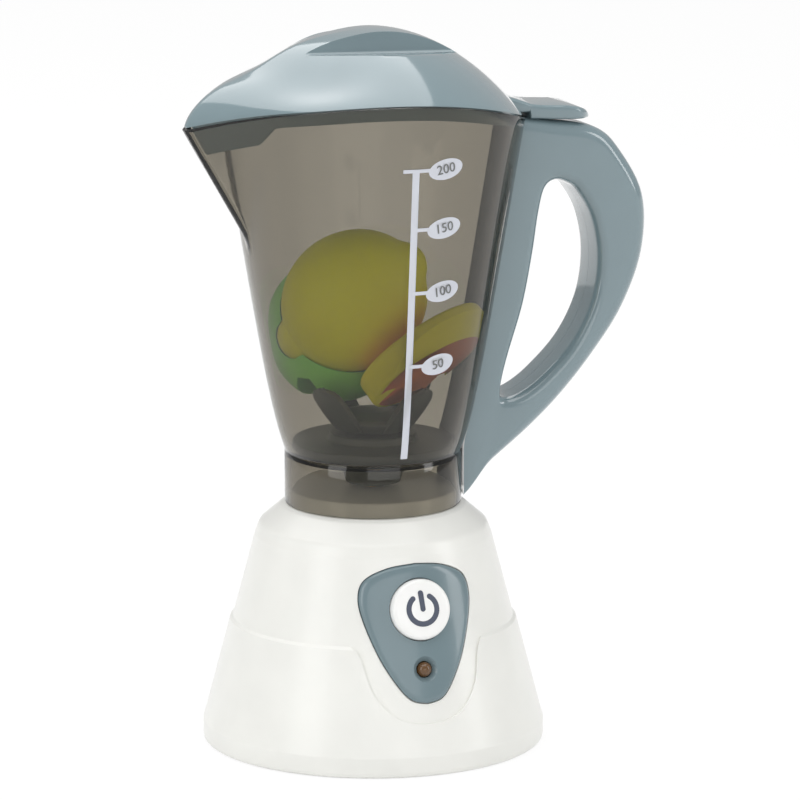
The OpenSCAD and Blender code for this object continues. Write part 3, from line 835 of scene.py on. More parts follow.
@dataclass
class BaseHousing:
    """The white base: skirt, step, sloping body, shoulder and the boss that the jug stands over."""

    radius: float = 56.0
    wall: float = 2.4
    top: float = 79.5
    boss_r: float = 26.6
    boss_z: float = 84.5
    apron: tuple[Point, ...] = ((0, 16.8), (6, 17.4), (11, 19.4), (15, 23), (17.8, 27.6), (19.2, 32.6),
                                (20, 36.6), (20.8, 39), (21.9, 40.6), (23, 41.5))

    def outline(self) -> list[Point]:
        """The shell's section, from its inner top round to its outer top.

        Returns:
            Radius and height of each point, in millimetres.
        """
        f, r, wall, boss = FRONT, self.radius, self.wall, self.boss_r
        inside = [
            (0.0, self.boss_z - 2), (boss - wall, self.boss_z - 2), (boss - wall, 77.0), (27.0, 76.9),
            (35.0, 71.2), (f.upper(69) - wall, 68.4), (f.skirt(9) - 3.3, 9.0), (r - wall, 6.0),
        ]
        foot = [(r - wall, 0.0), (r - 1.0, 0.0), (r - 0.2, 0.6), (r, 1.6), (r, 6.6)]
        outside = [
            (f.skirt(9.2), 9.2), (f.skirt(40.5), 40.5), (f.upper(41.35), 41.35), (f.upper(69), 69.0),
            (37.4, 72.6), (30.4, 78.6), (28.6, 79.45), (boss, self.top), (boss, self.boss_z),
            (0.0, self.boss_z),
        ]
        inside_radii = [0, 0.5, 0.5, 1.5, 2, 1, 1, 1]
        foot_radii = [0.6, 0.6, 0.5, 1.4, 3]
        outside_radii = [3, 0.7, 0.25, 2.4, 4, 3, 1.2, 0.25, 1.0, 0]
        return softened(inside + foot + outside, inside_radii + foot_radii + outside_radii, 6)

    def build(self) -> Piece:
        """Models the shell and lets the apron and the panel's pocket into it.

        Returns:
            The shell.
        """
        shell = turned(self.outline(), 160)
        combine(shell, front_skin(spline(self.apron, 5), 0.03, 4.0, top_cap=True))
        combine(shell, front_skin(SHIELD.grown(0.35), -1.2, 2.6))
        combine(shell, front_skin(SHIELD.grown(-2.6), -7.0, -0.6))
        return ready(tidy(shell, 28), "base_housing", WARM_WHITE, "warm_white", "base", "base_shell")


EDGE_STEPS = ((0.12, 0.0), (0.085, 0.04), (0.05, 0.16), (0.022, 0.36), (0.006, 0.64), (0.0, 1.0))


@dataclass(frozen=True)
class Shield:
    """Outline of the control panel, half of it from its lowest point to its top."""

    half: tuple[Point, ...] = ((0, 23.2), (5, 24.4), (9, 28.6), (13.9, 37.2), (17.7, 48), (18.9, 56),
                               (16.6, 62), (9, 65.7), (0, 66.8))

    def grown(self, by: float) -> list[Point]:
        """The right half of the outline, moved outwards by a distance.

        Args:
            by: The distance in millimetres, below 0 for a smaller outline.

        Returns:
            x and z of each point, from the lowest to the highest.
        """
        curve = spline(self.half, 7)
        made: list[Point] = []
        for i, here in enumerate(curve):
            before = curve[i - 1] if i else (-curve[1][0], curve[1][1])
            after = curve[i + 1] if i + 1 < len(curve) else (-curve[-2][0], curve[-2][1])
            along = Vector((after[0] - before[0], after[1] - before[1])).normalized()
            made.append((max(here[0] + along.y * by, 0.0), here[1] - along.x * by))
        made[0] = (0.0, made[0][1])
        made[-1] = (0.0, made[-1][1])
        return made


SHIELD = Shield()


def front_skin(
    half: Sequence[Point], low: float, high: float, edge: float = 0.0, top_cap: bool = False
) -> Piece:
    """A closed plate that follows the base's sloping front.

    Args:
        half: Right half of its outline, from its lowest to its highest point.
        low: Depth of its back, from the wall's surface.
        high: Height of its front.
        edge: Depth of the rounding along its front edge.
        top_cap: Whether the outline ends in a straight top.

    Returns:
        The closed plate.
    """
    right = list(half)
    left = [(-x, z) for x, z in reversed(right[1:] if top_cap else right[1:-1])]
    wide, top = right[-1]
    across = [(wide * (1 - k / 8), top) for k in range(1, 16)] if top_cap else []
    loop = right + across + left
    mid_z = (min(z for _, z in loop) + max(z for _, z in loop)) / 2
    inner = [k / 7 for k in range(7)]
    stations = [(s * (1 - edge * EDGE_STEPS[0][0]), high) for s in inner]
    stations += [(1 - edge * aside, high - edge * down) for aside, down in EDGE_STEPS]
    stations += [(1.0, low)] + [(s, low) for s in reversed(inner)]

    def place(i: int, k: int) -> Vector:
        """Where a vertex of the plate goes.

        Args:
            i: Number of the point round the outline.
            k: Number of the ring, from the middle of the front.

        Returns:
            The place in millimetres.
        """
        s, proud = stations[k]
        x, z = loop[i % len(loop)]
        return FRONT.on_front(x * s, mid_z + (z - mid_z) * s, proud)

    return ball(len(loop), len(stations) - 1, place)


@dataclass
class Controls:
    """The panel, its button with the power symbol, and the lamp below it."""

    button_z: float = 52.5
    button_r: float = 9.9
    crown: float = 3.55
    sag: float = 0.62
    sag_r: float = 8.7
    lamp_z: float = 33.8
    ring_r: float = 4.75
    stroke: float = 1.75
    gap: float = 37.0
    bar: Point = (0.1, 5.3)
    tilt: float = 4.0
    sink: float = 0.06

    def panel(self) -> Piece:
        """The blue-grey shield with its two holes.

        Returns:
            The panel.
        """
        plate = front_skin(SHIELD.grown(0.0), -1.1, 1.0, edge=0.95)
        hole = turned([(0, -6), (10.2, -6), (10.2, 0.55), (10.6, 1.2), (10.6, 6), (0, 6)], 96)
        combine(plate, moved(hole, FRONT.seat(self.button_z)))
        dish = turned([(0, -6), (2.7, -6), (2.7, -0.4), (3.4, 0.2), (4.5, 1.25), (4.5, 5), (0, 5)], 64)
        combine(plate, moved(dish, FRONT.seat(self.lamp_z)))
        return ready(tidy(plate, 30), "panel", PANEL_GREY, "blue_grey", "base", "control_panel")

    def dome(self, r: float) -> float:
        """Height of the button's top at a distance from its centre."""
        return self.crown - self.sag * (r / self.sag_r) ** 2

    def button(self) -> Piece:
        """The round cap with its flange.

        Returns:
            The cap.
        """
        top = [(r, self.dome(r)) for r in (0, 2, 4, 6, 7.6, 8.6)]
        side = [(9.2, 2.72), (9.65, 2.3), (self.button_r, 1.7), (self.button_r, -3.4)]
        flange = [(11, -3.4), (11, -4.2), (0, -4.2)]
        piece = moved(turned(top + side + flange, 96), FRONT.seat(self.button_z))
        return ready(tidy(piece, 40), "button_cap", BUTTON_WHITE, "button_white", "button", "power_button")

    def symbol(self) -> Piece:
        """The power sign: a ring open at the top and a short bar through the gap.

        Returns:
            The sign.
        """
        r, w = self.ring_r, self.stroke / 2
        z = self.dome(r) - self.sink
        arc = chain([(r - w, z), (r + w, z - 0.03), (r + w, z + 0.1), (r - w, z + 0.13)])
        with edited(arc):
            bpy.ops.mesh.edge_face_add()
            sweep = math.radians(360 - 2 * self.gap)
            bpy.ops.mesh.spin(steps=60, angle=sweep, center=(0, 0, 0), axis=(0, 0, 1))
        tidy(moved(arc, spun(90 - self.gap, "Z")))
        foot, head = self.bar
        turns = [math.radians(90 + s * self.gap) for s in (-1, 1)]
        tips = [(r * math.cos(t), r * math.sin(t)) for t in turns] + [(0.0, foot), (0.0, head)]
        ends = []
        for x, y in tips:
            ends.append(moved(rod(w, 0.15, 24), shift(x, y, self.dome(math.hypot(x, y)) - self.sink)))
        middle = self.dome((foot + head) / 2)
        bar = block((-w, foot, middle - 0.1), (w, head, middle + 0.09))
        sign = moved(joined(arc, bar, *ends), FRONT.seat(self.button_z) @ spun(self.tilt, "Z"))
        return ready(sign, "power_sign", SLATE_PRINT, "charcoal", "button")

    def lamp(self) -> Piece:
        """The lamp's lens with its collar and legs.

        Returns:
            The lamp.
        """
        lens = [(0, 1.9), (0.9, 1.75), (1.7, 1.25), (2.25, 0.5), (2.5, -0.6), (2.5, -6)]
        collar = [(2.9, -6), (2.9, -7), (0, -7)]
        seat = FRONT.seat(self.lamp_z)
        piece = tidy(moved(turned(lens + collar, 48), seat), 40)
        legs = [moved(rod(0.3, 4.0, 12), seat @ shift(s * 1.27, 0, -10.95)) for s in (-1, 1)]
        return ready(joined(piece, *legs), "lamp_lens", AMBER, "amber_lens", "base", "led_lamp")

    def build(self) -> None:
        """Builds the panel, button, sign and lamp."""
        self.panel()
        self.button()
        self.symbol()
        self.lamp()


# ---------------------------------------------------------------- jug


@dataclass
class Jug:
    """The smoky jug: collar, cone and spout as one wall, with its inner ledge and screw lugs."""

    levels: int = 26
    lip: float = 0.45
    inner_low: float = 97.9
    lugs: tuple[tuple[Point, Point, Point], ...] = (((50.6, 188), (61, 198), HANDLE_SCREWS[0]),
                                                    ((34.2, 99), (47.5, 108), HANDLE_SCREWS[2]))

    def side(self, angle: float, low: float, top: float, inset: float) -> list[Point]:
        """Distance and height of points up the wall, closer together at its foot."""
        zs = [low + (top - self.lip - low) * (k / self.levels) ** 0.9 for k in range(self.levels + 1)]
        return [(JUG.out(angle, z, inset), z) for z in zs]

    def section(self, angle: float) -> list[Point]:
        """Distance and height of each point of the wall's section at an angle from the spout.

        Args:
            angle: Degrees round from the spout.

        Returns:
            The points, once round the section.
        """
        reach, top = JUG.rim(angle)
        near, _ = JUG.rim(angle, JUG.wall)
        collar = [(28.4, 79.7), (28.85, 79.85), (29.0, 80.3), (29.0, 88.0), (29.0, 96.2), (28.75, 96.7),
                  (28.7, 97.0)]
        lip = [(reach - 0.12, top - 0.12), (reach - self.lip, top),
               (near + self.lip, top), (near + 0.12, top - 0.12)]
        ledge = [(26.75, 97.4), (26.5, 97.25), (24.9, 97.25), (24.6, 97.0), (24.6, 95.3), (24.9, 95.0),
                 (26.6, 95.0), (26.9, 94.9), (27.0, 94.6), (27.0, 88.0), (27.0, 80.3), (27.15, 79.85),
                 (27.6, 79.7)]
        outside = self.side(angle, JUG.cone_z + 0.5, top, 0.0)
        return collar + outside + lip + self.side(angle, self.inner_low, top, JUG.wall)[::-1] + ledge

    def build(self) -> Piece:
        """Models the wall and its two lugs.

        Returns:
            The jug.
        """
        angles = JUG.angles()
        sections = [self.section(a) for a in angles]
        body = hoop(len(angles), len(sections[0]), lambda i, j: polar(angles[i], *sections[i][j]))
        lugs = []
        for (x0, z0), (x1, z1), (x, z) in self.lugs:
            lug = block((x0, -1.5, z0), (x1, 1.5, z1))
            lugs.append(combine(lug, bore(1.8, 8, 32, (x, 4, z))))
        return ready(joined(body, *lugs), "jug_wall", SMOKY, "smoke_clear", "jug", "jug")


@dataclass
class ScalePrint:
    """The printed scale on the jug's front: a line with marks, and an oval with a plain number at each."""

    line_w: float = 2.3
    line_z: Point = (99.5, 197.6)
    mark_half: float = 0.6
    mark_gap: float = 5.4
    top_start: float = -7.2
    lift: float = 0.12
    thick: float = 0.09
    lean: float = 9.0
    oval_half: Point = (6.1, 3.4)
    digits: float = 4.5
    marks: tuple[tuple[str, float, float], ...] = (("200", 7.4, 197.1), ("150", 8.1, 177.4),
                                                   ("100", 9.0, 156.1), ("50", 9.1, 131.3))

    def wrapped(self, drawn: Sequence[Piece]) -> Piece:
        """Joins flat drawings, with x along the surface and z up, and lays them round the wall.

        Args:
            drawn: The flat drawings.

        Returns:
            The print on the wall.
        """

        def laid(at: Vector) -> Vector:
            """Where a vertex of the flat drawing goes.

            Args:
                at: The vertex's place on the flat drawing, in metres.

            Returns:
                The place in millimetres.
            """
            flat = at / MM
            r = JUG.cone(flat.z)
            a, out = flat.x / r, r + self.lift - flat.y
            return Vector((out * math.sin(a), -out * math.cos(a), flat.z))

        return tidy(reshaped(joined(*drawn), laid), 60)

    def centre(self, z: float) -> float:
        """Where the line runs at a height."""
        return -0.4 - 2.6 * (z - 99.0) / 99.0

    def strip(self, points: Sequence[Point]) -> Piece:
        """A thin flat outline, ready to be wrapped."""
        return slab(points, 0.0, -self.thick)

    def line(self) -> Piece:
        """The long line with its cross marks.

        Returns:
            The print on the wall.
        """
        half = self.line_w / 2
        low, high = self.line_z
        zs = [low + k * (high - low) / 30 for k in range(31)]
        right = [(self.centre(z) + half, z) for z in zs]
        left = [(self.centre(z) - half, z) for z in reversed(zs)]
        drawn = [self.strip(right + left)]
        for _, u, z in self.marks:
            start = self.top_start if z > 190 else self.centre(z)
            xs = [start + (u - self.mark_gap - start) * k / 5 for k in range(6)]
            under = [(x, z - self.mark_half) for x in xs]
            drawn.append(self.strip(under + [(x, z + self.mark_half) for x in reversed(xs)]))
        return self.wrapped(drawn)

    def oval(self, u: float, z: float) -> Piece:
        """One number's oval.

        Args:
            u: How far along the surface its middle lies.
            z: Height of its middle.

        Returns:
            The flat oval.
        """
        c, s = math.cos(math.radians(self.lean)), math.sin(math.radians(self.lean))
        wide, tall = self.oval_half
        turns = [2 * math.pi * k / 48 for k in range(48)]
        return self.strip([(u + wide * math.cos(a) * c - tall * math.sin(a) * s,
                            z + wide * math.cos(a) * s + tall * math.sin(a) * c) for a in turns])

    def number(self, words: str, u: float, z: float) -> Piece:
        """A plain number, standing on its oval.

        Args:
            words: The digits.
            u: How far along the surface its middle lies.
            z: Height of its middle.

        Returns:
            The flat number.
        """
        deselect()
        bpy.ops.object.text_add()
        text = bpy.context.object.data
        text.body = words
        text.align_x = text.align_y = "CENTER"
        text.size = self.digits * MM
        text.extrude = 0.03 * MM
        text.resolution_u = 4
        bpy.ops.object.convert(target="MESH")
        return moved(bpy.context.object, shift(u, -0.12, z) @ spun(-self.lean, "Y") @ spun(90, "X"))

    def build(self) -> None:
        """Prints the line, the ovals and the numbers."""
        ready(self.line(), "scale_line", WHITE_PRINT, "warm_white", "jug")
        ovals = self.wrapped([self.oval(u, z) for _, u, z in self.marks])
        ready(ovals, "scale_ovals", WHITE_PRINT, "warm_white", "jug")
        numbers = self.wrapped([self.number(*mark) for mark in self.marks])
        ready(numbers, "scale_numbers", GREY_PRINT, "charcoal", "jug")


@dataclass
class Blades:
    """The jug's floor and the blade flower over it."""

    petals: int = 4
    turn: float = 24.5
    lean: float = 38.3
    length: float = 19.8
    half: float = 6.4
    thick: float = 1.9
    foot_r: float = 10.9
    foot_z: float = 104.7
    tip_from: float = 0.7
    tip_span: float = 0.3

    def floor(self) -> Piece:
        """The dark disc with its raised boss.

        Returns:
            The disc.
        """
        corners = [(3.55, 97.25), (26.6, 97.25), (26.6, 100.4), (14.6, 100.4), (14.2, 103.0), (3.55, 103.0)]
        disc = turned(softened(corners, [0.2, 0.5, 0.8, 1.0, 0.8, 0.2], 4), 112)
        return ready(disc, "jug_base_disc", CHARCOAL, "charcoal", "jug", "jug_floor")

    def petal(self, number: int) -> Piece:
        """One upright petal, cupped and rounded at its tip.

        Args:
            number: Which petal it is, from 0.

        Returns:
            The petal.
        """
        deselect()
        bpy.ops.mesh.primitive_grid_add(x_subdivisions=10, y_subdivisions=14, size=1)

        def bent(at: Vector) -> Vector:
            """Where a vertex of the flat leaf goes.

            Args:
                at: The vertex's place on the flat leaf, 1 wide and 1 long.

            Returns:
                The place in millimetres.
            """
            across, along = at.x * 2, at.y + 0.5
            swell = self.half * (0.93 + 0.07 * math.sin(math.pi * along))
            if along > self.tip_from:
                past = (along - self.tip_from) / self.tip_span
                swell *= math.sqrt(max(0.0, 1 - past**2)) * 0.98 + 0.02
            cup = 0.55 * across * across - 0.4 * math.sin(math.pi * along)
            return Vector((-cup, across * swell, self.length * along))

        leaf = reshaped(bpy.context.object, bent)
        wall = leaf.modifiers.new("wall", "SOLIDIFY")
        wall.thickness = self.thick * MM
        wall.offset = 0.0
        apply_all(leaf)
        rounded(leaf, 0.6, 3, 40)
        place = spun(self.turn + 360 / self.petals * number, "Z") @ shift(self.foot_r, 0, self.foot_z)
        return tidy(moved(leaf, place @ spun(self.lean, "Y")), 50)

    def flower(self) -> Piece:
        """The hub with its petals, as one moulding.

        Returns:
            The flower.
        """
        corners = [(0, 103.9), (10.4, 103.9), (12.0, 105.0), (14.2, 107.4), (12.8, 108.8), (6, 110.2),
                   (0, 110.6)]
        hub = turned(softened(corners, [0, 0.5, 1, 0.8, 0.8, 2, 0], 4), 72)
        for number in range(self.petals):
            combine(hub, self.petal(number), "UNION")
        return ready(tidy(hub, 45), "blade_flower", CHARCOAL, "charcoal", "blades", "blade_rotor")

    def build(self) -> None:
        """Builds the disc and the flower."""
        self.floor()
        self.flower()


@dataclass
class Lid:
    """The domed lid: spout cover, two finger scoops with a ridge between, thumb tab and inner skirt."""

    top: float = 236.0
    wall: float = 2.2
    inset: float = 0.8
    ridge: float = 16.0
    scoop_z: float = 228.5
    scoop_fall: float = 2.0
    scoop_lean: float = 7.5
    rings: int = 26

    def rise(self, s: float, angle: float) -> float:
        """The dome's height over its edge, from 1 at the crown to 0 at the edge.

        Args:
            s: Share of the way from the crown to the edge.
            angle: Degrees round from the spout.

        Returns:
            The height as a share of the crown's.
        """
        w = max(0.0, math.cos(math.radians(angle))) ** 3
        turn = abs((angle + 180) % 360 - 180)
        sway = math.sin(math.radians(2 * turn)) ** 2 if turn < 90 else 0.0
        ridge = 1 - sway if turn < 45 else 0.0
        dip = 0.19 * sway * math.exp(-((s - 0.76) ** 2) / 0.05) * (1 - s**14)
        dip += 0.085 * ridge * math.exp(-((s - 0.66) ** 2) / 0.03)
        return max(0.0, max(0.0, 1 - s ** (2 - 0.25 * w)) ** (0.9 - 0.28 * w) - dip)

    def skin(self, shrink: float, drop: float, low: float) -> Piece:
        """A closed dome, shrunk sideways and lowered, with its flat underside at a height.

        Args:
            shrink: How much smaller it is all round.
            drop: How much lower its crown is.
            low: Height of its underside.

        Returns:
            The dome.
        """
        angles = JUG.angles()
        rims = [JUG.rim(a) for a in angles]
        steps = self.rings

        def place(i: int, k: int) -> Vector:
            """Where a vertex of the dome goes.

            Args:
                i: Number of the angle round the dome.
                k: Number of the ring, from the crown.

            Returns:
                The place in millimetres.
            """
            reach = rims[i][0] - self.inset - shrink
            edge = JUG.arch(-reach * math.cos(math.radians(angles[i])))
            if k <= steps:
                s = math.sin(math.pi / 2 * k / steps)
                high = edge + (self.top - drop - edge) * self.rise(s, angles[i])
                return polar(angles[i], s * reach, high)
            return polar(angles[i], reach * (steps + 4 - k) / 3.0, low)

        return ball(len(angles), steps + 4, place)

    def scoops(self, grow: float) -> Piece:
        """The two tools that hollow out the finger scoops.

        Args:
            grow: How much further in they reach, for the wall's inner side.

        Returns:
            Both tools as one piece.
        """
        made = []
        for side in (-1, 1):
            piece = block((-50, 0, 0), (50, 60, 40))
            rounded(piece, 1.2 if grow == 0 else 0.4, 4)
            place = shift(0, side * (self.ridge / 2 - grow), self.scoop_z - grow)
            turn = spun(0 if side > 0 else 180, "Z")
            lean = spun(self.scoop_fall, "Y") @ turn @ spun(self.scoop_lean, "X")
            made.append(moved(piece, place @ lean))
        return joined(*made)

    def under(self, lift: float) -> Piece:
        """The tool that cuts everything below the arched rim.

        Args:
            lift: How far the cut lies above the rim.

        Returns:
            The tool.
        """
        deselect()
        bpy.ops.mesh.primitive_cylinder_add(vertices=360, radius=(JUG.arch_r + lift) * MM, depth=0.24)
        tool = bpy.context.object
        tool.rotation_euler = (math.pi / 2, 0, 0)
        tool.location = (JUG.arch_x * MM, 0, (JUG.rim_top - JUG.arch_r) * MM)
        return settle(tool)

    def skirt(self) -> Piece:
        """The wall under the dome that dips into the jug, deeper at the spout.

        Returns:
            The closed ring of the skirt.
        """
        angles = JUG.angles()
        parts = []
        for a in angles:
            deep = 4.5 + 4.9 * max(0.0, min(1.0, (30 - abs(a)) / 9))
            foot = ((0.35, 0.4 - deep), (0.6, -deep), (1.6, -deep), (1.95, 0.4 - deep))
            points = []
            for gap, drop in ((0.35, 1.0), *foot, (1.95, 1.0)):
                z = JUG.rim(a, JUG.wall + gap)[1] + drop
                points.append((JUG.out(a, z, JUG.wall + gap), z))
            parts.append(points)
        return hoop(len(angles), 6, lambda i, j: polar(angles[i], *parts[i][j]))

    def tab_low(self, x: float) -> float:
        """Height of the tab's underside: under the dome, over the handle and past its bend.

        Args:
            x: Place along the spout and handle axis.

        Returns:
            The height in millimetres.
        """
        if x < 51.4:
            return 206.6
        return 204.4 - (x - 51.6) * 0.08 if x < 62 else 203.57 - (x - 62) * 0.05

    def tab(self) -> Piece:
        """The thumb tab over the handle, rounded at its end.

        Returns:
            The tab.
        """
        top = spline([(42, 213), (47, 211), (51, 209.5), (56, 208.6), (62, 208.2), (66, 207.8), (69, 207.1),
                      (71.5, 206), (73.2, 204.6), (74, 203.3)], 6)
        stations = [42.0, 45, 48, 51.2, 51.6, 54, 57, 60, 62.5, 64.5, 66.3, 68, 69.5, 70.8, 71.9, 72.7,
                    73.3, 73.7, 73.95]
        corners = 6

        def place(i: int, k: int) -> Vector:
            """Where a vertex of the tab goes.

            Args:
                i: Number of the point round the section.
                k: Number of the section, from the root.

            Returns:
                The place in millimetres.
            """
            x = stations[min(max(k - 1, 0), len(stations) - 1)]
            high, low = min(top, key=lambda p: abs(p[0] - x))[1], self.tab_low(x)
            half = min(9.5, math.sqrt(max(112.4 - max(x - 64, 0.0) ** 2, 4.0)))
            round_ = min(1.3, (high - low) * 0.45, half * 0.45)
            if k == 0 or k > len(stations):
                return Vector((x, 0, (high + low) / 2))
            quarter, step = divmod(i, corners + 1)
            a = math.pi / 2 * (quarter + step / corners)
            cy = (half - round_) * (1 if quarter in (0, 3) else -1)
            cz = (high + low) / 2 + ((high - low) / 2 - round_) * (1 if quarter in (0, 1) else -1)
            return Vector((x, cy + round_ * math.cos(a), cz + round_ * math.sin(a)))

        return tidy(ball(4 * (corners + 1), len(stations) + 1, place), 35)

    def build(self) -> Piece:
        """Models the lid.

        Returns:
            The lid.
        """
        shell = self.skin(0, 0, 185)
        combine(shell, self.scoops(0))
        inner = self.skin(self.wall, self.wall, 180)
        combine(inner, self.scoops(self.wall))
        keep = self.tab()
        combine(shell, self.under(0.3))
        combine(shell, keep, "UNION")
        combine(shell, inner)
        lid = joined(tidy(shell, 30), self.skirt())
        return ready(lid, "lid_dome", BLUE_GREY, "blue_grey", "lid", "lid")


@dataclass
class Handle:
    """The handle: a rounded loop split in two halves down its middle, with three screws from the back."""

    half: float = 10.0
    seam: float = 0.05
    jug_gap: float = 0.25
    outer_edge: float = 4.5
    inner_edge: float = 3.4
    pairs: tuple[tuple[Point, Point], ...] = (
        ((24, 79.5), (41.4, 116)), ((38, 90.6), (42.6, 112.3)), ((51.7, 101.1), (48.6, 113.2)),
        ((63.1, 111.5), (57, 118.8)), ((74.5, 124.6), (67.4, 129.6)), ((84.9, 139.7), (74, 143)),
        ((91.8, 158), (75.8, 157.5)), ((91.9, 177), (73.4, 170.5)), ((83, 193.1), (68.4, 179.3)),
        ((75, 200), (65, 182.2)), ((62, 202.9), (60.6, 183.4)), ((40, 204.2), (57, 180.9)),
        ((28, 190), (55, 173.2)), ((24, 162), (53, 160)), ((20, 143), (49.6, 143)),
        ((18, 120), (44.4, 126.5)),
    )

    def section(self, outer: Point, inner: Point) -> list[Vector]:
        """The rounded section between a point on the outer curve and one on the opening.

        Args:
            outer: x and z on the outer curve.
            inner: x and z on the opening's edge.

        Returns:
            The points round the section.
        """
        a, b = Vector(outer), Vector(inner)
        width = (b - a).length
        u = (b - a) / width
        turns = [math.pi / 2 * k / 6 for k in range(7)]
        eo, ei, h = self.outer_edge, self.inner_edge, self.half
        flat = (
            [(eo - eo * math.sin(t), -h + eo - eo * math.cos(t)) for t in turns]
            + [(eo - eo * math.cos(t), h - eo + eo * math.sin(t)) for t in turns]
            + [(width - ei + ei * math.sin(t), h - ei + ei * math.cos(t)) for t in turns]
            + [(width - ei + ei * math.cos(t), -h + ei - ei * math.sin(t)) for t in turns]
        )
        return [Vector((a.x + u.x * s, y, a.y + u.y * s)) for s, y in flat]

    def loop(self) -> Piece:
        """The whole loop before it is fitted to the jug.

        Returns:
            The loop.
        """
        outer = spline([p[0] for p in self.pairs], 7, closed=True)
        inner = spline([p[1] for p in self.pairs], 7, closed=True)
        sections = [self.section(o, i) for o, i in zip(outer, inner)]
        return hoop(len(sections), len(sections[0]), lambda i, j: sections[i][j])

    def jug_space(self) -> Piece:
        """The tool that leaves room for the jug and its collar.

        Returns:
            The tool.
        """
        wall = [(JUG.cone(z) + self.jug_gap, z) for z in (100, 103, 106, 110, 116, 124, 136, 150, 180, 222)]
        return turned([(0, 70), (29.8, 70), (29.8, 97.2), *wall, (0, 222)], 160)

    def build(self) -> None:
        """Models both halves."""
        whole = self.loop()
        combine(whole, self.jug_space())
        combine(whole, joined(*(bore(3, 6, 40, (x, 13, z)) for x, z in HANDLE_SCREWS)))
        for name, near, far in (("handle_front", -20, -self.seam), ("handle_back", self.seam, 20)):
            activate(whole)
            bpy.ops.object.duplicate()
            piece = bpy.context.object
            combine(piece, block((0, near, 60), (120, far, 220)), "INTERSECT")
            ready(tidy(piece, 30), name, BLUE_GREY, "blue_grey", "jug", name + "_half")
        bpy.data.objects.remove(whole, do_unlink=True)


# ---------------------------------------------------------------- play food


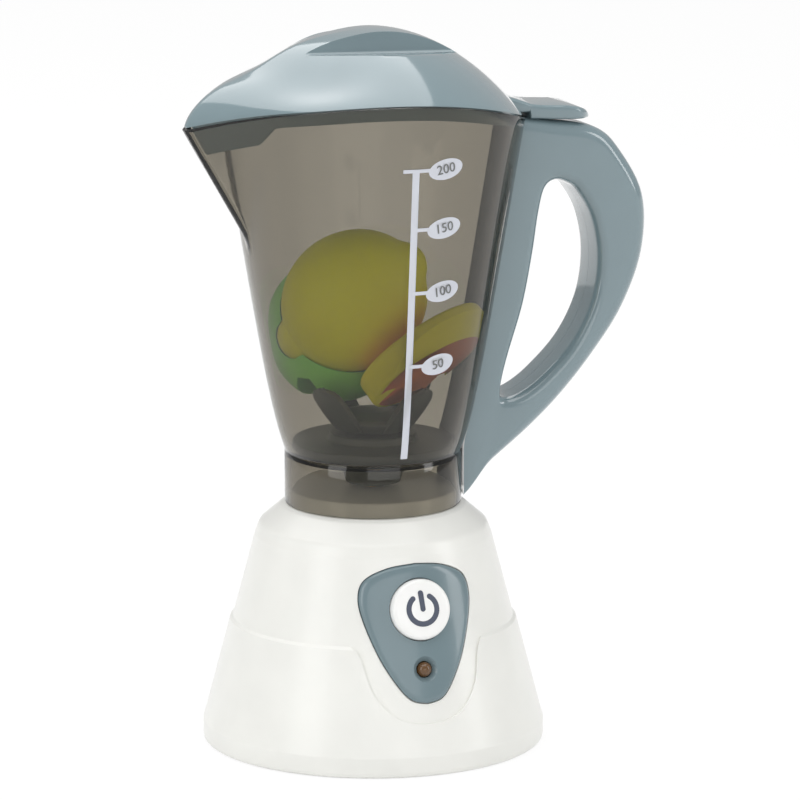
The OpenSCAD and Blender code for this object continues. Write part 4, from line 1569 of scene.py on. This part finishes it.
@dataclass
class PlayFood:
    """The lemon, the cut slice and the green piece, lying loose over the blades."""

    side: Vector = field(default_factory=lambda: Vector((0.937, -0.350, 0)))
    near: Vector = field(default_factory=lambda: Vector((-0.350, -0.937, 0)))
    lemon_at: tuple[float, float, float] = (-6, 1, 146.6)
    lemon_r: float = 22.6
    lemon_half: float = 24.5
    slice_at: tuple[float, float, float] = (17.1, 12, 130.7)
    slice_r: float = 23.0
    slice_half: float = 4.5
    green_at: tuple[float, float, float] = (-12, -12, 134.5)
    green_r: float = 24.0
    gap: float = 0.5
    off_wall: float = 2.7

    def at(self, side: float, near: float, up: float) -> Vector:
        """A place in the jug, sideways, towards the front and up, in millimetres."""
        return self.side * side + self.near * near + Vector((0, 0, up))

    def lemon_form(self, grow: float) -> Piece:
        """The lemon with the nub at its end.

        Args:
            grow: How much larger it is, for cutting others clear of it.

        Returns:
            The lemon.
        """

        def skin(i: int, k: int) -> Vector:
            """Where a vertex of the lemon goes.

            Args:
                i: Number of the point round it.
                k: Number of the ring, from the nub.

            Returns:
                The place in millimetres.
            """
            t = math.pi * k / 40
            up = math.cos(t)
            r = (self.lemon_r + grow) * math.sin(t)
            nub = max(0.0, (up - 0.93) / 0.07)
            tail = max(0.0, (-up - 0.94) / 0.06)
            z = (self.lemon_half + grow) * up + 4.4 * math.sqrt(nub) - 2.8 * tail
            a = 2 * math.pi * i / 72
            ripple = 1 + 0.006 * math.cos(9 * a) * math.sin(t)
            return Vector((r * ripple * math.cos(a), r * ripple * math.sin(a), z))

        lean = spun(-20.5, "Z") @ spun(-125.5, "Y")
        return moved(ball(72, 40, skin), Matrix.Translation(self.at(*self.lemon_at) * MM) @ lean)

    def slice_place(self) -> Matrix:
        """How the slice lies."""
        return Matrix.Translation(self.at(*self.slice_at) * MM) @ spun(124.7, "Z") @ spun(42.9, "Y")

    def slice_form(self, grow: float) -> Piece:
        """The slice's rounded disc.

        Args:
            grow: How much larger it is, for cutting others clear of it.

        Returns:
            The disc.
        """
        h, r = self.slice_half + grow, self.slice_r + grow
        disc = turned(softened([(0, -h), (r, -h), (r, h), (0, h)], [0, 1.6, 1.6, 0], 5), 96)
        return moved(disc, self.slice_place())

    def green_form(self) -> Piece:
        """The green piece before it is cut clear of the others.

        Returns:
            The round piece.
        """

        def skin(i: int, k: int) -> Vector:
            """Where a vertex of the green piece goes.

            Args:
                i: Number of the point round it.
                k: Number of the ring, from the top.

            Returns:
                The place in millimetres.
            """
            a, t = 2 * math.pi * i / 64, math.pi * k / 40
            out = Vector((math.sin(t) * math.cos(a), math.sin(t) * math.sin(a), math.cos(t)))
            return self.at(*self.green_at) + self.green_r * out

        return ball(64, 40, skin)

    def room(self) -> Piece:
        """The space inside the jug and above the blades."""
        wall = [(JUG.cone(z) - self.off_wall, z) for z in (102, 108, 115, 122, 130, 140, 160, 190)]
        return turned([(0, 102), *wall, (0, 190)], 120)

    def swept(self) -> Piece:
        """The space that the turning blades need."""
        tips = [(15.5, 103.2), (24.8, 112), (24.8, 121.5), (21.4, 121.5)]
        return turned([(0, 103.2), *tips, (12.3, 109.6), (6, 110.9), (0, 111.2)])

    def cleared(self, piece: Piece, *others: Piece) -> Piece:
        """Keeps a piece inside the jug and cuts it clear of others and of the turning blades.

        Args:
            piece: The piece to cut.
            *others: Forms to stay clear of, which are used up.

        Returns:
            The same piece.
        """
        combine(piece, self.room(), "INTERSECT")
        for other in (*others, self.swept()):
            combine(piece, other)
        return tidy(piece, 35)

    def build(self) -> None:
        """Builds the three pieces so that they lie clear of each other."""
        ready(self.lemon_form(0), "lemon", LEMON, "toy_yellow", "jug", "toy_lemon")
        rind = self.cleared(self.slice_form(0), self.lemon_form(self.gap))
        ready(rind, "fruit_slice", RIND, "toy_orange", "jug", "toy_fruit_slice")
        self.flesh(rind)
        green = self.cleared(self.green_form(), self.lemon_form(self.gap), self.slice_form(self.gap))
        ready(green, "green_fruit", GREEN, "toy_green", "jug", "toy_green_fruit")

    def flesh(self, piece: Piece) -> None:
        """Gives the slice's flat faces the colour of cut fruit.

        Args:
            piece: The slice.
        """
        piece.data.materials.append(FLESH.material())
        out = (self.slice_place().to_3x3() @ Vector((0, 0, 1))).normalized()
        centre = self.slice_place().translation
        for face in piece.data.polygons:
            away = (face.center - centre) - out * (face.center - centre).dot(out)
            if abs(face.normal.dot(out)) > 0.9 and away.length < 19.5 * MM:
                face.material_index = 1


# ---------------------------------------------------------------- inside and underneath


@dataclass
class Works:
    """Everything that the frame already has the right shape for: it only gets its finish."""

    groups: tuple[tuple[Finish, str], ...] = (
        (WARM_WHITE, "base_bottom battery_door"),
        (STEEL, "battery_door_screw case_screws board_screws motor_screws gearbox_screws handle_screws"),
        (STEEL, "battery_contacts motor motor_shaft drive_shaft blade_shaft"),
        (JACKET, "battery_cells"),
        (CHARCOAL, "switch_plunger power_switch drive_coupling driven_coupling"),
        (BOARD, "circuit_board"),
        (CREAM, "motor_pinion gearbox_plate gearbox_cover drive_gear"),
        (BRONZE, "shaft_bushes blade_bush"),
        (WIRE, "wires"),
    )

    def build(self) -> None:
        """Dresses each node."""
        for finish, nodes in self.groups:
            for node in nodes.split():
                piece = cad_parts[node]
                piece.data.materials.clear()
                piece.data.materials.append(finish.material())
                LOG.info("%s: %s", node, finish.name)


# ---------------------------------------------------------------- studio


@dataclass
class Studio:
    """The camera, the pale floor and the soft lights."""

    azimuth: float = -20.5
    elevation: float = 12.3
    focal_px: float = 6500.0
    distance: float = 2124.0
    look_z: float = 112.9
    look_side: float = 8.85
    sensor_mm: float = 36.0
    picture_px: float = 800.0
    floor_glow: float = 1.04
    floor_share: float = 0.85
    surround: float = 0.46
    lamps: tuple[tuple[str, tuple, tuple, Point, float], ...] = (
        ("top_softbox", (-0.1, 0.35, 1.3), (-0.1, 0.35, 0.15), (1.4, 2.2), 17.0),
        ("left_softbox", (-1.2, -0.5, 0.55), (0, 0, 0.12), (0.6, 0.9), 3.9),
        ("right_softbox", (1.1, -0.75, 0.6), (0, 0, 0.12), (0.35, 0.9), 3.6),
        ("front_fill", (-0.2, -1.8, 0.45), (0, 0, 0.13), (1.4, 0.6), 3.4),
    )

    def camera(self) -> None:
        """Puts the camera where the photograph was taken from."""
        a, e = math.radians(self.azimuth), math.radians(self.elevation)
        back = Vector((math.sin(a) * math.cos(e), -math.cos(a) * math.cos(e), math.sin(e)))
        right = Vector((math.cos(a), math.sin(a), 0))
        up = back.cross(right)
        look = Vector((0, 0, self.look_z)) + right * self.look_side
        spot = look + back * self.distance
        data = bpy.data.cameras.new("camera")
        data.sensor_width = self.sensor_mm
        data.lens = self.focal_px * self.sensor_mm / self.picture_px
        data.clip_start, data.clip_end = 0.1, 30.0
        eye = bpy.data.objects.new("camera", data)
        bpy.context.scene.collection.objects.link(eye)
        turn = Matrix((right, up, back)).transposed().to_4x4()
        eye.matrix_world = Matrix.Translation(spot * MM) @ turn
        bpy.context.scene.camera = eye

    def floor(self) -> None:
        """A wide white floor that runs into the background."""
        deselect()
        bpy.ops.mesh.primitive_plane_add(size=12, location=(0, 0, -0.0002))
        plane = named(bpy.context.object, "floor")
        settle(plane)
        pale = bpy.data.materials.new("floor_paper")
        tree = Tree(pale)
        shader = tree.given("Principled BSDF", Base_Color=(0.86, 0.86, 0.86, 1), Roughness=0.8)
        path = tree.add("LightPath")
        glow = tree.add("Emission", Strength=self.floor_glow)
        seen = tree.math("MAXIMUM", (path, "Is Camera Ray"), (path, "Is Transmission Ray"))
        seen = tree.math("MAXIMUM", (seen, 0), (path, "Is Glossy Ray"))
        share = tree.math("MULTIPLY", (seen, 0), self.floor_share)
        tree.link(tree.mixed((share, 0), shader, glow), 0, tree.given("Material Output"), "Surface")
        plane.data.materials.append(pale)

    def world(self) -> None:
        """An even pale surround, white to the camera."""
        world = bpy.data.worlds.new("surround")
        bpy.context.scene.world = world
        tree = Tree(world)
        ground = tree.given("Background", Color=(1, 1, 1, 1), Strength=self.surround)
        seen = tree.add("Background", Color=(1, 1, 1, 1), Strength=1.0)
        path = tree.add("LightPath")
        either = tree.math("MAXIMUM", (path, "Is Camera Ray"), (path, "Is Transmission Ray"))
        tree.link(tree.mixed((either, 0), ground, seen), 0, tree.given("World Output"), "Surface")

    def light(
        self, name: str, place: Sequence[float], aim: Sequence[float], size: Point, watts: float
    ) -> None:
        """Hangs one soft light.

        Args:
            name: The light's name.
            place: Where it hangs, in metres.
            aim: What it points at, in metres.
            size: Its width and height, in metres.
            watts: Its power.
        """
        data = bpy.data.lights.new(name, "AREA")
        data.shape = "RECTANGLE"
        data.size, data.size_y = size
        data.energy = watts
        lamp = bpy.data.objects.new(name, data)
        bpy.context.scene.collection.objects.link(lamp)
        lamp.location = place
        lamp.rotation_euler = (Vector(aim) - Vector(place)).to_track_quat("-Z", "Y").to_euler()

    def build(self) -> None:
        """Sets up the whole studio."""
        self.camera()
        self.floor()
        self.world()
        for name, place, aim, size, watts in self.lamps:
            self.light(name, place, aim, size, watts)
        bpy.context.scene.view_settings.view_transform = "Standard"


def main() -> None:
    """Builds the toy piece by piece."""
    logging.basicConfig(level=logging.INFO, format="%(message)s")
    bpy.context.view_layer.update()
    Studio().build()
    Works().build()
    BaseHousing().build()
    Controls().build()
    Jug().build()
    ScalePrint().build()
    Blades().build()
    PlayFood().build()
    Lid().build()
    Handle().build()


if __name__ == "__main__":
    main()
